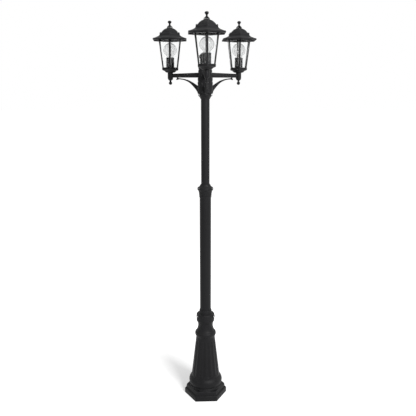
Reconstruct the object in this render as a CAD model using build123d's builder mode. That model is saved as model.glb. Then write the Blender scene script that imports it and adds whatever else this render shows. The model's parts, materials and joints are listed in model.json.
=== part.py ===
from build123d import *
import os
from math import asin, cos, pi, radians, sin, tan

# Triple head lamp post. Millimetres, +Z up, origin on the post axis at the ground.
# The front arm points along -Y, the other two lie a third of a turn to each side of it.
# An apothem is the distance from a hexagon's centre to the middle of a side.

os.makedirs("parts", exist_ok=True)

ARM_ANGLES = {"front": -90.0, "right": 30.0, "left": 150.0}
ARM_REACH = 196.0  # post axis to lantern axis
FIT_GAP = 0.3  # radial gap of parts that slide over each other
RUN_GAP = 0.5  # radial gap of a bulb that turns in its lampholder

# Poles
LOWER_POLE_D = 57.5
LOWER_POLE_L = 1096.0
UPPER_POLE_D = 42.0
UPPER_POLE_L = 623.0
POLE_WALL = 2.0

# Plinth and base cover: a rise is measured from the feature below
PLINTH_R = 112.5  # centre to corner of the hexagon
PLINTH_H = 27.0
PLINTH_STEP = 3.5
SLOPE_IN = 11.5  # how far the plinth's slope brings the corners in
SLOPE_H = 23.0
COVER_WALL = 5.0
BEAD_IN = 24.5  # big bead inside the plinth's corners
BEAD_RISE = 32.0
FOOT_RING_H = 9.0  # round ring between slope and bead
GROOVE_DEPTH = 5.0
GROOVE_RISE = 3.0
CONE_IN = 14.0  # cone's foot inside the bead
CONE_RISE = 26.0
CONE_H = 217.0
CONE_TOP_R = 49.6
NECK_BEAD_R = 55.2
NECK_BEAD_RISE = 24.0
NECK_BEAD_LOW = 14.0  # bead's lower edge below its middle
NECK_BEAD_HIGH = 15.0  # bead's upper edge above its middle
NECK_T = 10.45  # neck's surface outside the pole's
NECK_RISE = 50.0
NECK_SWEEP = 16.0
RING_T = 18.25  # top ring's surface outside the pole's
RING_RISE = 19.0
RING_H = 42.0
RING_EDGE = 5.0
RING_FLARE = 3.0
LIP_T = 2.85  # lip's surface outside the pole's
LIP_H = 21.0
BORE_DROP = 14.0  # lower end of the cover's bore, below the neck
FLUTE_COUNT = 16
FLUTE_R = 8.0
FLUTE_DEPTH = 2.4
FLUTE_MARGIN = 14.0  # cone left plain beyond each end of a flute's middle line

# Ground plate
PLATE_IN = 3.0  # edge inside the big bead's radius
PLATE_T = 6.0
SPIGOT_H = 110.0
SPIGOT_WALL = 3.0
CABLE_HOLE_D = 30.0
ANCHOR_COUNT = 3
ANCHOR_EDGE = 20.0  # hole centres inside the plate's edge
ANCHOR_HOLE_D = 9.0

# Set screws: the same socket screw in cover, collar and hub
SCREW_COUNT = 3
SET_SCREW_D = 8.0
SET_SCREW_GAP = 0.1
SET_SCREW_SOCKET = 4.0
COVER_BOSS_D = 18.0
COVER_BOSS_T = 2.0  # how far a boss stands out of its ring
COLLAR_BOSS_D = 12.0
HUB_BOSS_D = 11.0
BOSS_T = 0.5

# Mid collar: radii outside the pole that each part surrounds
COLLAR_SKIRT_H = 19.0  # how far it reaches down over the lower pole
COLLAR_SKIRT_T = 1.65
COLLAR_SKIRT_FLARE = 1.5
COLLAR_BAND_H = 14.0
COLLAR_RING_T = 10.95
COLLAR_RING_RISE = 24.0  # ring's middle above the lower pole's top
COLLAR_RING_H = 9.0
COLLAR_EDGE = 4.5
COLLAR_TOP_T = 3.0
COLLAR_TOP_RISE = 47.0
COUPLER_L = 96.0
COUPLER_FLANGE_T = 3.0
COUPLER_LEDGE = 3.0

# Hub: radius outside the pole, height above the hub's foot
HUB_POLE_DEPTH = 66.0  # how far the pole goes up into the hub
HUB_OUTLINE = [
    (1.5, 0.0), (7.0, 10.0), (13.0, 17.0), (13.0, 22.0), (11.5, 25.0), (15.0, 30.0), (13.6, 74.5),
    (15.0, 97.0), (10.8, 107.0), (10.8, 140.0), (12.2, 145.0), (12.2, 151.0), (10.2, 154.0),
]
HUB_RING_T = 13.0
HUB_RING_RISE = 20.0
HUB_T = 15.0  # widest place outside the pole
CHAMBER_T = 3.0  # wiring chamber's radius outside the pole
CHAMBER_FLOOR = 8.0
HUB_CAP_NECK_T = 1.0  # cap's neck outside the chamber's radius
HUB_CAP_RING_T = 4.8
HUB_CAP_RING_RISE = 45.0
HUB_CAP_RING_H = 8.0
HUB_CAP_EDGE = 2.5
HUB_CAP_FOOT_H = 6.0
HUB_CAP_H = 65.0
HUB_CAP_SPIGOT_H = 14.0
HUB_CAP_WALL = 3.0
BLOCK_GAP = 4.0  # terminal block's ends inside the chamber's radius
BLOCK_W = 16.0
BLOCK_H = 18.0
BLOCK_SCREW_D = 3.2

# Arms: heights about the bar's centre line
ARM_RISE = 114.0  # bar's centre line above the hub's foot
ARM_ROOT_IN = 3.0  # hub wall between the chamber and the bar's inner end
ARM_ROOT_H = 21.6
ARM_TIP_H = 16.6
ARM_ROOT_W = 18.0
ARM_TIP_W = 14.0
ARM_TOP_SHARE = 0.5  # width of the bar's top, as a share of its full width
ARM_BAND_SHARE = 0.3  # height of the bar's side band, as a share of its full height
CUP_R = 13.5
CUP_TOP_RISE = 14.0
CUP_SIDE_DROP = 11.5
CUP_FOOT_R = 6.0
CUP_FOOT_DROP = 23.0
CUP_ROUND_SHARE = 0.86  # cup's radius halfway round its rounded foot, as a share of its full radius
CUP_FLOOR = 4.0
CABLE_BORE_D = 6.0
CABLE_BORE_DROP = 4.0
ARM_BOLT_D = 5.0
ARM_BOLT_RISE = 5.0
ARM_BOLT_L = 14.0  # in the bar
ARM_BOLT_HEAD_D = 9.0
ARM_BOLT_HEAD_H = 4.0

# Braces: share of the way from the hub out to the leaf's tip, height about the bar's centre line
BRACE_W = 9.0
BRACE_ROOT_LOW = -90.0
BRACE_LOW = [(0.16, -62.0), (0.38, -37.2), (0.64, -23.4), (0.90, -18.5)]
BRACE_ROOT_HIGH = -55.0
BRACE_HIGH = [(0.14, -43.5), (0.38, -27.4), (0.64, -17.6), (0.88, -13.5)]
LEAF_IN = 35.0  # leaf's tip inside the lantern's axis
LEAF_DROP = -21.0
LEAF_TOP_SHARE = 0.935

# Lanterns, about their own axis, a corner of the hexagon outwards along the arm
TRAY_OGEE = [(15.0, 0.0), (23.5, 2.8), (28.6, 8.0), (34.0, 10.4), (39.4, 13.0)]  # apothem, height
TRAY_H = 18.0
NIPPLE_D = 10.0
NIPPLE_BORE_D = 6.5
NIPPLE_END = 2.0
NUT_FLATS = 14.0
NUT_H = 5.0
BALL_R = 8.2
BALL_DROP = 13.5  # ball's centre below the cup's foot
BALL_NECK_R = 4.0
BALL_NECK_FLARE = 1.5
BALL_STUD_L = 14.0
CAGE_H = 140.0
CAGE_FOOT_H = 6.0
CAGE_FOOT_W = 5.0
CAGE_POST_W = 9.0  # across the corner
CAGE_POST_T = 3.5
CAGE_HEAD_APOTHEM = 52.0  # to the posts' centre lines
CAGE_HEAD_H = 6.0
CAGE_HEAD_W = 6.0
PANE_T = 2.0
HOLDER_D = 39.5
HOLDER_H = 54.0
HOLDER_FLOOR = 4.0
HOLDER_EDGE = 1.0
HOLDER_NUT_BORE_D = 20.0
HOLDER_NUT_ROOM = 4.0  # above the nut
BULB_D = 65.0
BULB_GLASS_T = 1.2
BULB_SHOULDER_DEG = 40.0  # where the neck's cone meets the sphere, below the equator
BULB_CAP_D = 26.4
BULB_CAP_T = 0.8
BULB_CAP_H = 25.0
BULB_CAP_DROP = 1.5  # cap's edge below the holder's rim
BULB_CAP_TAPER_H = 7.0
BULB_NECK_GAP = 0.2
STEM_R = 4.0
STEM_FLARE_H = 8.0
STEM_TOP_R = 2.8
STEM_H = 28.0
WIRE_D = 0.8
FILAMENT_SPAN = 22.0
FILAMENT_RISE = 14.0
FILAMENT_DIP = 3.0

# Roofs
EAVE_DROP = 4.5  # eave below the cage's top
EAVE_REACH = 29.5  # beyond the posts' centre lines
ROOF_SKIRT = [  # distance in from the eave, height above it
    (0.0, 0.0), (0.0, 6.0), (14.5, 11.0), (25.5, 16.2), (31.0, 20.5), (33.7, 25.0), (34.7, 30.0),
]
ROOF_DOME = [  # share of the way in from the dome's foot to its top, height above the eave
    (0.18, 32.5), (0.26, 35.5), (0.40, 42.0), (0.54, 47.5), (0.67, 51.3), (0.80, 54.0), (1.0, 56.5),
]
ROOF_WALL = 2.5
ROOF_TOP_WALL = 5.0
ROOF_SEAT_IN = 4.9  # roof's seat on the cage's top frame, in from the frame's outside
ROOF_SEAT_H = 8.0
ROOF_FLANGE_W = 3.0
ROOF_FLANGE_H = 4.0
ROOF_SCREW_D = 2.8
ROOF_SCREW_GAP = 0.1
ROOF_SCREW_HEAD_D = 7.2
ROOF_SCREW_HEAD_H = 2.4
CROWN_R = 13.4
CROWN_SEAT = 0.6  # dome's flat top past the crown's ring
CROWN_RING_H = 2.0
CROWN_RING_W = 4.0
CROWN_LEG_W = 3.0
CROWN_LEGS = [(11.4, 1.0), (9.4, 7.5), (3.4, 14.0)]  # leg's middle from the axis, height above the dome
CROWN_LEG_END = 1.0  # top of the legs inside the collar
CROWN_COLLAR_R = 4.8
CROWN_COLLAR_H = 3.5
FINIAL_R = 9.2
FINIAL_RISE = 12.0  # widest place above the crown
FINIAL_H = 19.0
FINIAL_FOOT_R = 4.4
FINIAL_NECK_R = 3.8
FINIAL_NECK_RISE = 2.0
FINIAL_SWELL_R = 4.8
FINIAL_SWELL_RISE = 6.0
FINIAL_SCREW_D = 5.0
FINIAL_SCREW_L = 26.0

HEX_CORNER = 1 / cos(pi / 6)  # corner radius of a hexagon with apothem 1

# Radii that follow from the sizes above
lower_pole_r = LOWER_POLE_D / 2
upper_pole_r = UPPER_POLE_D / 2
spigot_r = lower_pole_r - POLE_WALL - FIT_GAP / 2
plinth_apothem = PLINTH_R / HEX_CORNER
bead_r = PLINTH_R - BEAD_IN
plate_r = bead_r - PLATE_IN
collar_ring_r = lower_pole_r + COLLAR_RING_T
hub_bore_r = upper_pole_r + FIT_GAP
hub_ring_r = upper_pole_r + HUB_RING_T
chamber_r = upper_pole_r + CHAMBER_T
arm_root = chamber_r + ARM_ROOT_IN
tray_apothem = TRAY_OGEE[-1][0]
post_corner = CAGE_POST_T / 2 * cos(pi / 6) + CAGE_POST_W / 2 * sin(pi / 6)  # reach past its centre line
cage_head_outer = CAGE_HEAD_APOTHEM + post_corner
bulb_cap_r = BULB_CAP_D / 2
bulb_neck_r = bulb_cap_r - BULB_CAP_T - BULB_NECK_GAP
shoulder_angle = radians(BULB_SHOULDER_DEG)

# Heights, from the ground up
slope_z = PLINTH_H + SLOPE_H
foot_ring_z = slope_z + FOOT_RING_H
bead_z = slope_z + BEAD_RISE
cone_foot_z = bead_z + CONE_RISE
cone_top_z = cone_foot_z + CONE_H
neck_bead_z = cone_top_z + NECK_BEAD_RISE
neck_z = neck_bead_z + NECK_RISE
ring_z = neck_z + RING_RISE
ring_top_z = ring_z + RING_H
cover_top_z = ring_top_z + LIP_H
collar_seat_z = PLATE_T + LOWER_POLE_L
collar_ring_z = collar_seat_z + COLLAR_RING_RISE
collar_low_z = collar_ring_z - COLLAR_RING_H / 2
collar_high_z = collar_ring_z + COLLAR_RING_H / 2
coupler_foot_z = collar_seat_z - COUPLER_L
upper_pole_z = coupler_foot_z + COUPLER_LEDGE
pole_top_z = upper_pole_z + UPPER_POLE_L
chamber_z = pole_top_z + CHAMBER_FLOOR
hub_z = pole_top_z - HUB_POLE_DEPTH
hub_ring_z = hub_z + HUB_RING_RISE
hub_top_z = hub_z + HUB_OUTLINE[-1][1]
hub_cap_ring_z = hub_top_z + HUB_CAP_RING_RISE
arm_z = hub_z + ARM_RISE
cup_top_z = arm_z + CUP_TOP_RISE
cup_side_z = arm_z - CUP_SIDE_DROP
cup_foot_z = arm_z - CUP_FOOT_DROP
cup_bore_z = cup_foot_z + CUP_FLOOR
ball_z = cup_foot_z - BALL_DROP
tray_top_z = cup_top_z + TRAY_H
nut_z = tray_top_z + HOLDER_FLOOR
cage_foot_top_z = tray_top_z + CAGE_FOOT_H
cage_head_z = tray_top_z + CAGE_H
cage_head_low_z = cage_head_z - CAGE_HEAD_H
holder_top_z = tray_top_z + HOLDER_H
bulb_cap_top_z = holder_top_z - BULB_CAP_DROP
bulb_cap_foot_z = bulb_cap_top_z - BULB_CAP_H
glass_foot_z = bulb_cap_top_z - BULB_CAP_H / 2
bulb_z = holder_top_z + BULB_D / 2 / sin(shoulder_angle) - bulb_neck_r / tan(shoulder_angle)
eave_z = cage_head_z - EAVE_DROP
roof_top_z = eave_z + ROOF_DOME[-1][1]
crown_collar_z = roof_top_z + CROWN_LEGS[-1][1] - CROWN_LEG_END
crown_top_z = crown_collar_z + CROWN_COLLAR_H


def save(piece, name):
    """Names a finished piece and writes its file."""
    piece.label = name
    export_step(piece, f"parts/{name}.step")


def save_on_each_arm(piece, name, reach=0.0):
    """Writes a copy of a piece for each arm, moved out along it."""
    for side, angle in ARM_ANGLES.items():
        turn = Location((0, 0, 0), (0, 0, angle))
        save(piece.moved(turn * Location((reach, 0, 0))), f"{name}_{side}")


def radial_plane(angle, reach, height):
    """A plane that faces straight out from the axis."""
    turn = Location((0, 0, height), (0, 0, angle))
    return Plane(turn * Location((reach, 0, 0), (0, 90, 0)))


def hexagon_loft(levels, mode=Mode.ADD):
    """Lofts straight through hexagons, each given as (apothem, height)."""
    sections = []
    for apothem, height in levels:
        with BuildSketch(Plane.XY.offset(height)) as section:
            RegularPolygon(apothem * HEX_CORNER, 6)
        sections.append(section.sketch)
    loft(sections, ruled=True, mode=mode)


def set_screws(reach, tip, height):
    """A ring of socket screws that point at the axis, from radius reach in to radius tip."""
    with BuildPart() as screws:
        for turn in range(SCREW_COUNT):
            seat = radial_plane(90 + turn * 360 / SCREW_COUNT, reach, height)
            with BuildSketch(seat):
                Circle(SET_SCREW_D / 2)
            extrude(amount=-(reach - tip))
            with BuildSketch(seat):
                RegularPolygon(SET_SCREW_SOCKET / 2, 6)
            extrude(amount=-SET_SCREW_SOCKET, mode=Mode.SUBTRACT)
    return screws.part


def screw_bosses(reach, bore_r, height, boss_d):
    """Bosses on a casting for its set screws, and their holes through to its bore."""
    for turn in range(SCREW_COUNT):
        seat = radial_plane(90 + turn * 360 / SCREW_COUNT, reach, height)
        with BuildSketch(seat) as boss:
            Circle(boss_d / 2)
        extrude(boss.sketch, amount=-(reach - bore_r - 1))
        with BuildSketch(seat) as hole:
            Circle(SET_SCREW_D / 2 + SET_SCREW_GAP)
        extrude(hole.sketch, amount=-(reach - bore_r + 2), mode=Mode.SUBTRACT)


def arm_height(reach):
    """Height of the bar at a distance from the post axis."""
    return ARM_ROOT_H + (ARM_TIP_H - ARM_ROOT_H) * (reach - arm_root) / (ARM_REACH - arm_root)


def arm_section(reach, width, height):
    """The bar's section: a flat top and bottom, and a narrow band on each side."""
    top = width / 2 * ARM_TOP_SHARE
    band = height / 2 * ARM_BAND_SHARE
    with BuildSketch(Plane.YZ.offset(reach)) as section:
        with BuildLine():
            Polyline(
                (top, arm_z + height / 2),
                (width / 2, arm_z + band),
                (width / 2, arm_z - band),
                (top, arm_z - height / 2),
                (-top, arm_z - height / 2),
                (-width / 2, arm_z - band),
                (-width / 2, arm_z + band),
                (-top, arm_z + height / 2),
                (top, arm_z + height / 2),
            )
        make_face()
    return section.sketch


def cage_apothem(height):
    """Apothem of the posts' centre lines at a height."""
    foot = tray_apothem - post_corner
    return foot + (CAGE_HEAD_APOTHEM - foot) * (height - tray_top_z) / CAGE_H


def cap_arc(radius, height, top):
    """An arc from a rim up to the axis, part of a sphere centred on the axis."""
    centre = (radius**2 + height**2 - top**2) / (2 * (height - top))
    half = asin(radius / (top - centre)) / 2
    middle = ((top - centre) * sin(half), centre + (top - centre) * cos(half))
    ThreePointArc((radius, height), middle, (0, top))


def bulb_outline(radius, neck_r):
    """Half of the bulb's outline: a sphere that a cone joins to the neck."""
    shoulder = (radius * cos(shoulder_angle), bulb_z - radius * sin(shoulder_angle))
    cone_foot_z = bulb_z - radius / sin(shoulder_angle) + neck_r / tan(shoulder_angle)
    side = (radius * cos(shoulder_angle / 2), bulb_z + radius * sin(shoulder_angle / 2))
    Polyline((0, glass_foot_z), (neck_r, glass_foot_z), (neck_r, cone_foot_z), shoulder)
    ThreePointArc(shoulder, side, (0, bulb_z + radius))
    Line((0, bulb_z + radius), (0, glass_foot_z))


# Ground plate, and the spigot on it that the lower pole slips over
with BuildPart() as ground_plate:
    with BuildSketch():
        Circle(plate_r)
        Circle(CABLE_HOLE_D / 2, mode=Mode.SUBTRACT)
        with PolarLocations(plate_r - ANCHOR_EDGE, ANCHOR_COUNT, start_angle=-90):
            Circle(ANCHOR_HOLE_D / 2, mode=Mode.SUBTRACT)
    extrude(amount=PLATE_T)
save(ground_plate.part, "ground_plate")

with BuildPart() as pole_spigot:
    with BuildSketch(Plane.XY.offset(PLATE_T)):
        Circle(spigot_r)
        Circle(spigot_r - SPIGOT_WALL, mode=Mode.SUBTRACT)
    extrude(amount=SPIGOT_H)
save(pole_spigot.part, "pole_spigot")

# Plinth: hollow hexagonal casting that stands on the ground around the plate
cover_bore_r = lower_pole_r + FIT_GAP
bore_z = neck_z - BORE_DROP
slope_apothem = (PLINTH_R - SLOPE_IN) / HEX_CORNER
plinth_top_z = foot_ring_z + GROOVE_RISE
groove = (bead_r - GROOVE_DEPTH, plinth_top_z)
cone_foot = (bead_r - CONE_IN, cone_foot_z)
inner_slope = (bead_r - COVER_WALL, slope_z)
inner_cone_foot = (cone_foot[0] - COVER_WALL, cone_foot_z)
inner_share = (plinth_top_z - slope_z) / (cone_foot_z - slope_z)
inner_groove = (inner_slope[0] + (inner_cone_foot[0] - inner_slope[0]) * inner_share, plinth_top_z)
with BuildPart() as plinth:
    with BuildSketch():
        RegularPolygon(PLINTH_R, 6)
    extrude(amount=PLINTH_H)
    hexagon_loft([(plinth_apothem - PLINTH_STEP, PLINTH_H), (slope_apothem, slope_z)])
    with BuildSketch(Plane.XZ):
        with BuildLine():
            Polyline(
                (0, PLINTH_H),
                (bead_r, PLINTH_H),
                (bead_r, foot_ring_z),
                groove,
                (0, plinth_top_z),
                (0, PLINTH_H),
            )
        make_face()
    revolve(axis=Axis.Z)
    with BuildSketch(Plane.XZ):
        with BuildLine():
            Polyline((0, 0), (inner_slope[0], 0), inner_slope, inner_groove, (0, plinth_top_z), (0, 0))
        make_face()
    revolve(axis=Axis.Z, mode=Mode.SUBTRACT)
    with BuildSketch():
        RegularPolygon(PLINTH_R - COVER_WALL * HEX_CORNER, 6)
    extrude(amount=PLINTH_H - COVER_WALL, mode=Mode.SUBTRACT)
save(plinth.part, "plinth")

# Base cover: hollow fluted casting that stands on the plinth around the lower pole
cone_top = (CONE_TOP_R, cone_top_z)
neck_bead_foot = (CONE_TOP_R, neck_bead_z - NECK_BEAD_LOW)
neck_bead_top = (CONE_TOP_R - 2, neck_bead_z + NECK_BEAD_HIGH)
neck_r = lower_pole_r + NECK_T
neck = (neck_r, neck_z)
ring_r = lower_pole_r + RING_T
lip_r = lower_pole_r + LIP_T
cover_screw_z = ring_top_z - COVER_BOSS_D / 2 - 1
with BuildPart() as flute_cutter:
    flute_low = Vector(cone_foot[0], 0, cone_foot_z)
    flute_high = Vector(cone_top[0], 0, cone_top_z)
    flute_line = (flute_high - flute_low).normalized()
    flute_length = (flute_high - flute_low).length - 2 * FLUTE_MARGIN
    flute_out = Vector(flute_line.Z, 0, -flute_line.X) * (FLUTE_R - FLUTE_DEPTH)
    flute_start = flute_low + flute_line * FLUTE_MARGIN + flute_out
    with BuildSketch(Plane(origin=flute_start, x_dir=(0, 1, 0), z_dir=flute_line)):
        Circle(FLUTE_R)
    extrude(amount=flute_length)
    with Locations(flute_start, flute_start + flute_line * flute_length):
        Sphere(FLUTE_R)
with BuildPart() as base_cover:
    with BuildSketch(Plane.XZ):
        with BuildLine():
            Line((0, plinth_top_z), groove)
            ThreePointArc(groove, (bead_r, bead_z), cone_foot)
            Polyline(cone_foot, cone_top, neck_bead_foot)
            ThreePointArc(neck_bead_foot, (NECK_BEAD_R, neck_bead_z), neck_bead_top)
            ThreePointArc(neck_bead_top, (neck_r + 1, neck_z - NECK_SWEEP), neck)
            Polyline(
                neck,
                (neck_r + RING_FLARE, ring_z - RING_EDGE + 1),
                (ring_r, ring_z + RING_EDGE),
                (ring_r, ring_top_z - RING_EDGE),
                (ring_r - RING_EDGE, ring_top_z),
                (lip_r + 1, ring_top_z),
                (lip_r, cover_top_z),
                (0, cover_top_z),
                (0, plinth_top_z),
            )
        make_face()
    revolve(axis=Axis.Z)
    with BuildSketch(Plane.XZ):
        with BuildLine():
            Polyline(
                (0, plinth_top_z),
                inner_groove,
                inner_cone_foot,
                (CONE_TOP_R - COVER_WALL, cone_top_z),
                (neck_r - COVER_WALL, bore_z - 2 * COVER_WALL),
                (cover_bore_r, bore_z),
                (cover_bore_r, cover_top_z + 1),
                (0, cover_top_z + 1),
                (0, plinth_top_z),
            )
        make_face()
    revolve(axis=Axis.Z, mode=Mode.SUBTRACT)
    screw_bosses(ring_r + COVER_BOSS_T, cover_bore_r, cover_screw_z, COVER_BOSS_D)
    for flute in range(FLUTE_COUNT):
        turn = Location((0, 0, 0), (0, 0, (flute + 0.5) * 360 / FLUTE_COUNT))
        add(flute_cutter.part.moved(turn), mode=Mode.SUBTRACT)
save(base_cover.part, "base_cover")
save(set_screws(ring_r + COVER_BOSS_T - BOSS_T, lower_pole_r, cover_screw_z), "base_set_screws")

# Poles: two tubes, with a sleeve between them inside the collar
with BuildPart() as lower_pole:
    with BuildSketch(Plane.XY.offset(PLATE_T)):
        Circle(lower_pole_r)
        Circle(lower_pole_r - POLE_WALL, mode=Mode.SUBTRACT)
    extrude(amount=LOWER_POLE_L)
save(lower_pole.part, "lower_pole")

with BuildPart() as pole_coupler:
    with BuildSketch(Plane.XY.offset(coupler_foot_z)):
        Circle(spigot_r)
    extrude(amount=COUPLER_L)
    with BuildSketch(Plane.XY.offset(collar_seat_z)):
        Circle(lower_pole_r)
    extrude(amount=COUPLER_FLANGE_T)
    with BuildSketch(Plane.XY.offset(upper_pole_z)):
        Circle(upper_pole_r + FIT_GAP / 2)
    extrude(amount=COUPLER_L + COUPLER_FLANGE_T, mode=Mode.SUBTRACT)
    with BuildSketch(Plane.XY.offset(coupler_foot_z)):
        Circle(upper_pole_r - POLE_WALL)
    extrude(amount=COUPLER_LEDGE, mode=Mode.SUBTRACT)
save(pole_coupler.part, "pole_coupler")

with BuildPart() as upper_pole:
    with BuildSketch(Plane.XY.offset(upper_pole_z)):
        Circle(upper_pole_r)
        Circle(upper_pole_r - POLE_WALL, mode=Mode.SUBTRACT)
    extrude(amount=UPPER_POLE_L)
save(upper_pole.part, "upper_pole")

# Mid collar: rests on the coupler's flange
collar_web_z = collar_seat_z + COUPLER_FLANGE_T
collar_foot_z = collar_seat_z - COLLAR_SKIRT_H
collar_top_z = collar_seat_z + COLLAR_TOP_RISE
skirt_r = lower_pole_r + COLLAR_SKIRT_T
collar_top_r = upper_pole_r + COLLAR_TOP_T
with BuildPart() as mid_collar:
    with BuildSketch(Plane.XZ):
        with BuildLine():
            Polyline(
                (hub_bore_r, collar_web_z),
                (cover_bore_r, collar_web_z),
                (cover_bore_r, collar_foot_z),
                (skirt_r, collar_foot_z),
                (skirt_r + COLLAR_SKIRT_FLARE, collar_foot_z + COLLAR_BAND_H),
                (collar_ring_r - COLLAR_EDGE, collar_low_z - COLLAR_EDGE),
                (collar_ring_r, collar_low_z),
                (collar_ring_r, collar_high_z),
                (collar_ring_r - COLLAR_EDGE, collar_high_z + COLLAR_EDGE),
                (collar_top_r + COLLAR_EDGE / 3, collar_top_z - COLLAR_EDGE),
                (collar_top_r, collar_top_z),
                (hub_bore_r, collar_top_z),
                (hub_bore_r, collar_web_z),
            )
        make_face()
    revolve(axis=Axis.Z)
    screw_bosses(collar_ring_r + BOSS_T, hub_bore_r, collar_high_z, COLLAR_BOSS_D)
save(mid_collar.part, "mid_collar")
save(set_screws(collar_ring_r, upper_pole_r, collar_high_z), "collar_set_screws")

# Hub casting: socket for the pole below, wiring chamber above, three arm sockets
hub_outline = [(upper_pole_r + past_pole, hub_z + rise) for past_pole, rise in HUB_OUTLINE]
with BuildPart() as hub_casting:
    with BuildSketch(Plane.XZ):
        with BuildLine():
            Polyline((0, hub_z), *hub_outline, (0, hub_top_z), (0, hub_z))
        make_face()
    revolve(axis=Axis.Z)
    with BuildSketch(Plane.XY.offset(hub_z)):
        Circle(hub_bore_r)
    extrude(amount=HUB_POLE_DEPTH, mode=Mode.SUBTRACT)
    with BuildSketch(Plane.XY.offset(pole_top_z)):
        Circle(upper_pole_r - POLE_WALL)
    extrude(amount=CHAMBER_FLOOR, mode=Mode.SUBTRACT)
    with BuildSketch(Plane.XY.offset(chamber_z)):
        Circle(chamber_r)
    extrude(amount=hub_top_z - chamber_z, mode=Mode.SUBTRACT)
    screw_bosses(hub_ring_r + BOSS_T, hub_bore_r, hub_ring_z, HUB_BOSS_D)
    for angle in ARM_ANGLES.values():
        with BuildSketch(radial_plane(angle, arm_root, arm_z)):
            Rectangle(ARM_ROOT_H + 2 * FIT_GAP, ARM_ROOT_W + 2 * FIT_GAP)
        extrude(amount=HUB_T, mode=Mode.SUBTRACT)
        with BuildSketch(radial_plane(angle, chamber_r - 2, arm_z - CABLE_BORE_DROP)):
            Circle(CABLE_BORE_D / 2)
        extrude(amount=HUB_T, mode=Mode.SUBTRACT)
        with BuildSketch(radial_plane(angle, chamber_r - 2, arm_z + ARM_BOLT_RISE)):
            Circle(ARM_BOLT_D / 2 + FIT_GAP)
        extrude(amount=HUB_T, mode=Mode.SUBTRACT)
save(hub_casting.part, "hub_casting")
save(set_screws(hub_ring_r, upper_pole_r, hub_ring_z), "hub_set_screws")

# Hub cap: hollow turned cap, its spigot in the chamber's mouth
spigot_foot_z = hub_top_z - HUB_CAP_SPIGOT_H
cap_spigot_r = chamber_r - FIT_GAP
cap_neck_r = chamber_r + HUB_CAP_NECK_T
cap_ring_r = chamber_r + HUB_CAP_RING_T
cap_ring_half = HUB_CAP_RING_H / 2
cap_dome_z = hub_cap_ring_z + cap_ring_half + HUB_CAP_EDGE
hub_cap_top_z = hub_top_z + HUB_CAP_H
with BuildPart() as hub_cap:
    with BuildSketch(Plane.XZ):
        with BuildLine():
            Polyline(
                (0, spigot_foot_z),
                (cap_spigot_r, spigot_foot_z),
                (cap_spigot_r, hub_top_z),
                (cap_neck_r + HUB_CAP_EDGE, hub_top_z),
                (cap_neck_r, hub_top_z + HUB_CAP_FOOT_H),
                (cap_neck_r, hub_cap_ring_z - 2 * cap_ring_half),
                (cap_ring_r, hub_cap_ring_z - cap_ring_half),
                (cap_ring_r, hub_cap_ring_z + cap_ring_half),
                (cap_ring_r - HUB_CAP_EDGE, cap_dome_z),
            )
            cap_arc(cap_ring_r - HUB_CAP_EDGE, cap_dome_z, hub_cap_top_z)
            Line((0, hub_cap_top_z), (0, spigot_foot_z))
        make_face()
    revolve(axis=Axis.Z)
    with BuildSketch(Plane.XY.offset(spigot_foot_z)):
        Circle(cap_spigot_r - HUB_CAP_WALL)
    extrude(amount=hub_cap_ring_z - spigot_foot_z, mode=Mode.SUBTRACT)
save(hub_cap.part, "hub_cap")

# Terminal block: stands on the chamber's floor, across the cable's way up
block_l = 2 * (chamber_r - BLOCK_GAP)
with BuildPart() as terminal_block:
    with BuildSketch(Plane.XY.offset(chamber_z)):
        Rectangle(block_l, BLOCK_W)
    extrude(amount=BLOCK_H)
    with BuildSketch(Plane.XY.offset(chamber_z + BLOCK_H)):
        with GridLocations(block_l / 3, BLOCK_W / 2, 3, 2):
            Circle(BLOCK_SCREW_D / 2)
    extrude(amount=-BLOCK_H / 2, mode=Mode.SUBTRACT)
save(terminal_block.part, "terminal_block")

# Arm bolts: one through the hub's wall into the end of each arm, heads in the chamber
bolt_head_seat = (chamber_r**2 - (ARM_BOLT_HEAD_D / 2) ** 2) ** 0.5
with BuildPart() as arm_bolts:
    for angle in ARM_ANGLES.values():
        with BuildSketch(radial_plane(angle, bolt_head_seat, arm_z + ARM_BOLT_RISE)):
            Circle(ARM_BOLT_HEAD_D / 2)
        extrude(amount=-ARM_BOLT_HEAD_H)
        with BuildSketch(radial_plane(angle, bolt_head_seat, arm_z + ARM_BOLT_RISE)):
            Circle(ARM_BOLT_D / 2)
        extrude(amount=arm_root - bolt_head_seat + ARM_BOLT_L)
save(arm_bolts.part, "arm_bolts")

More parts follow.
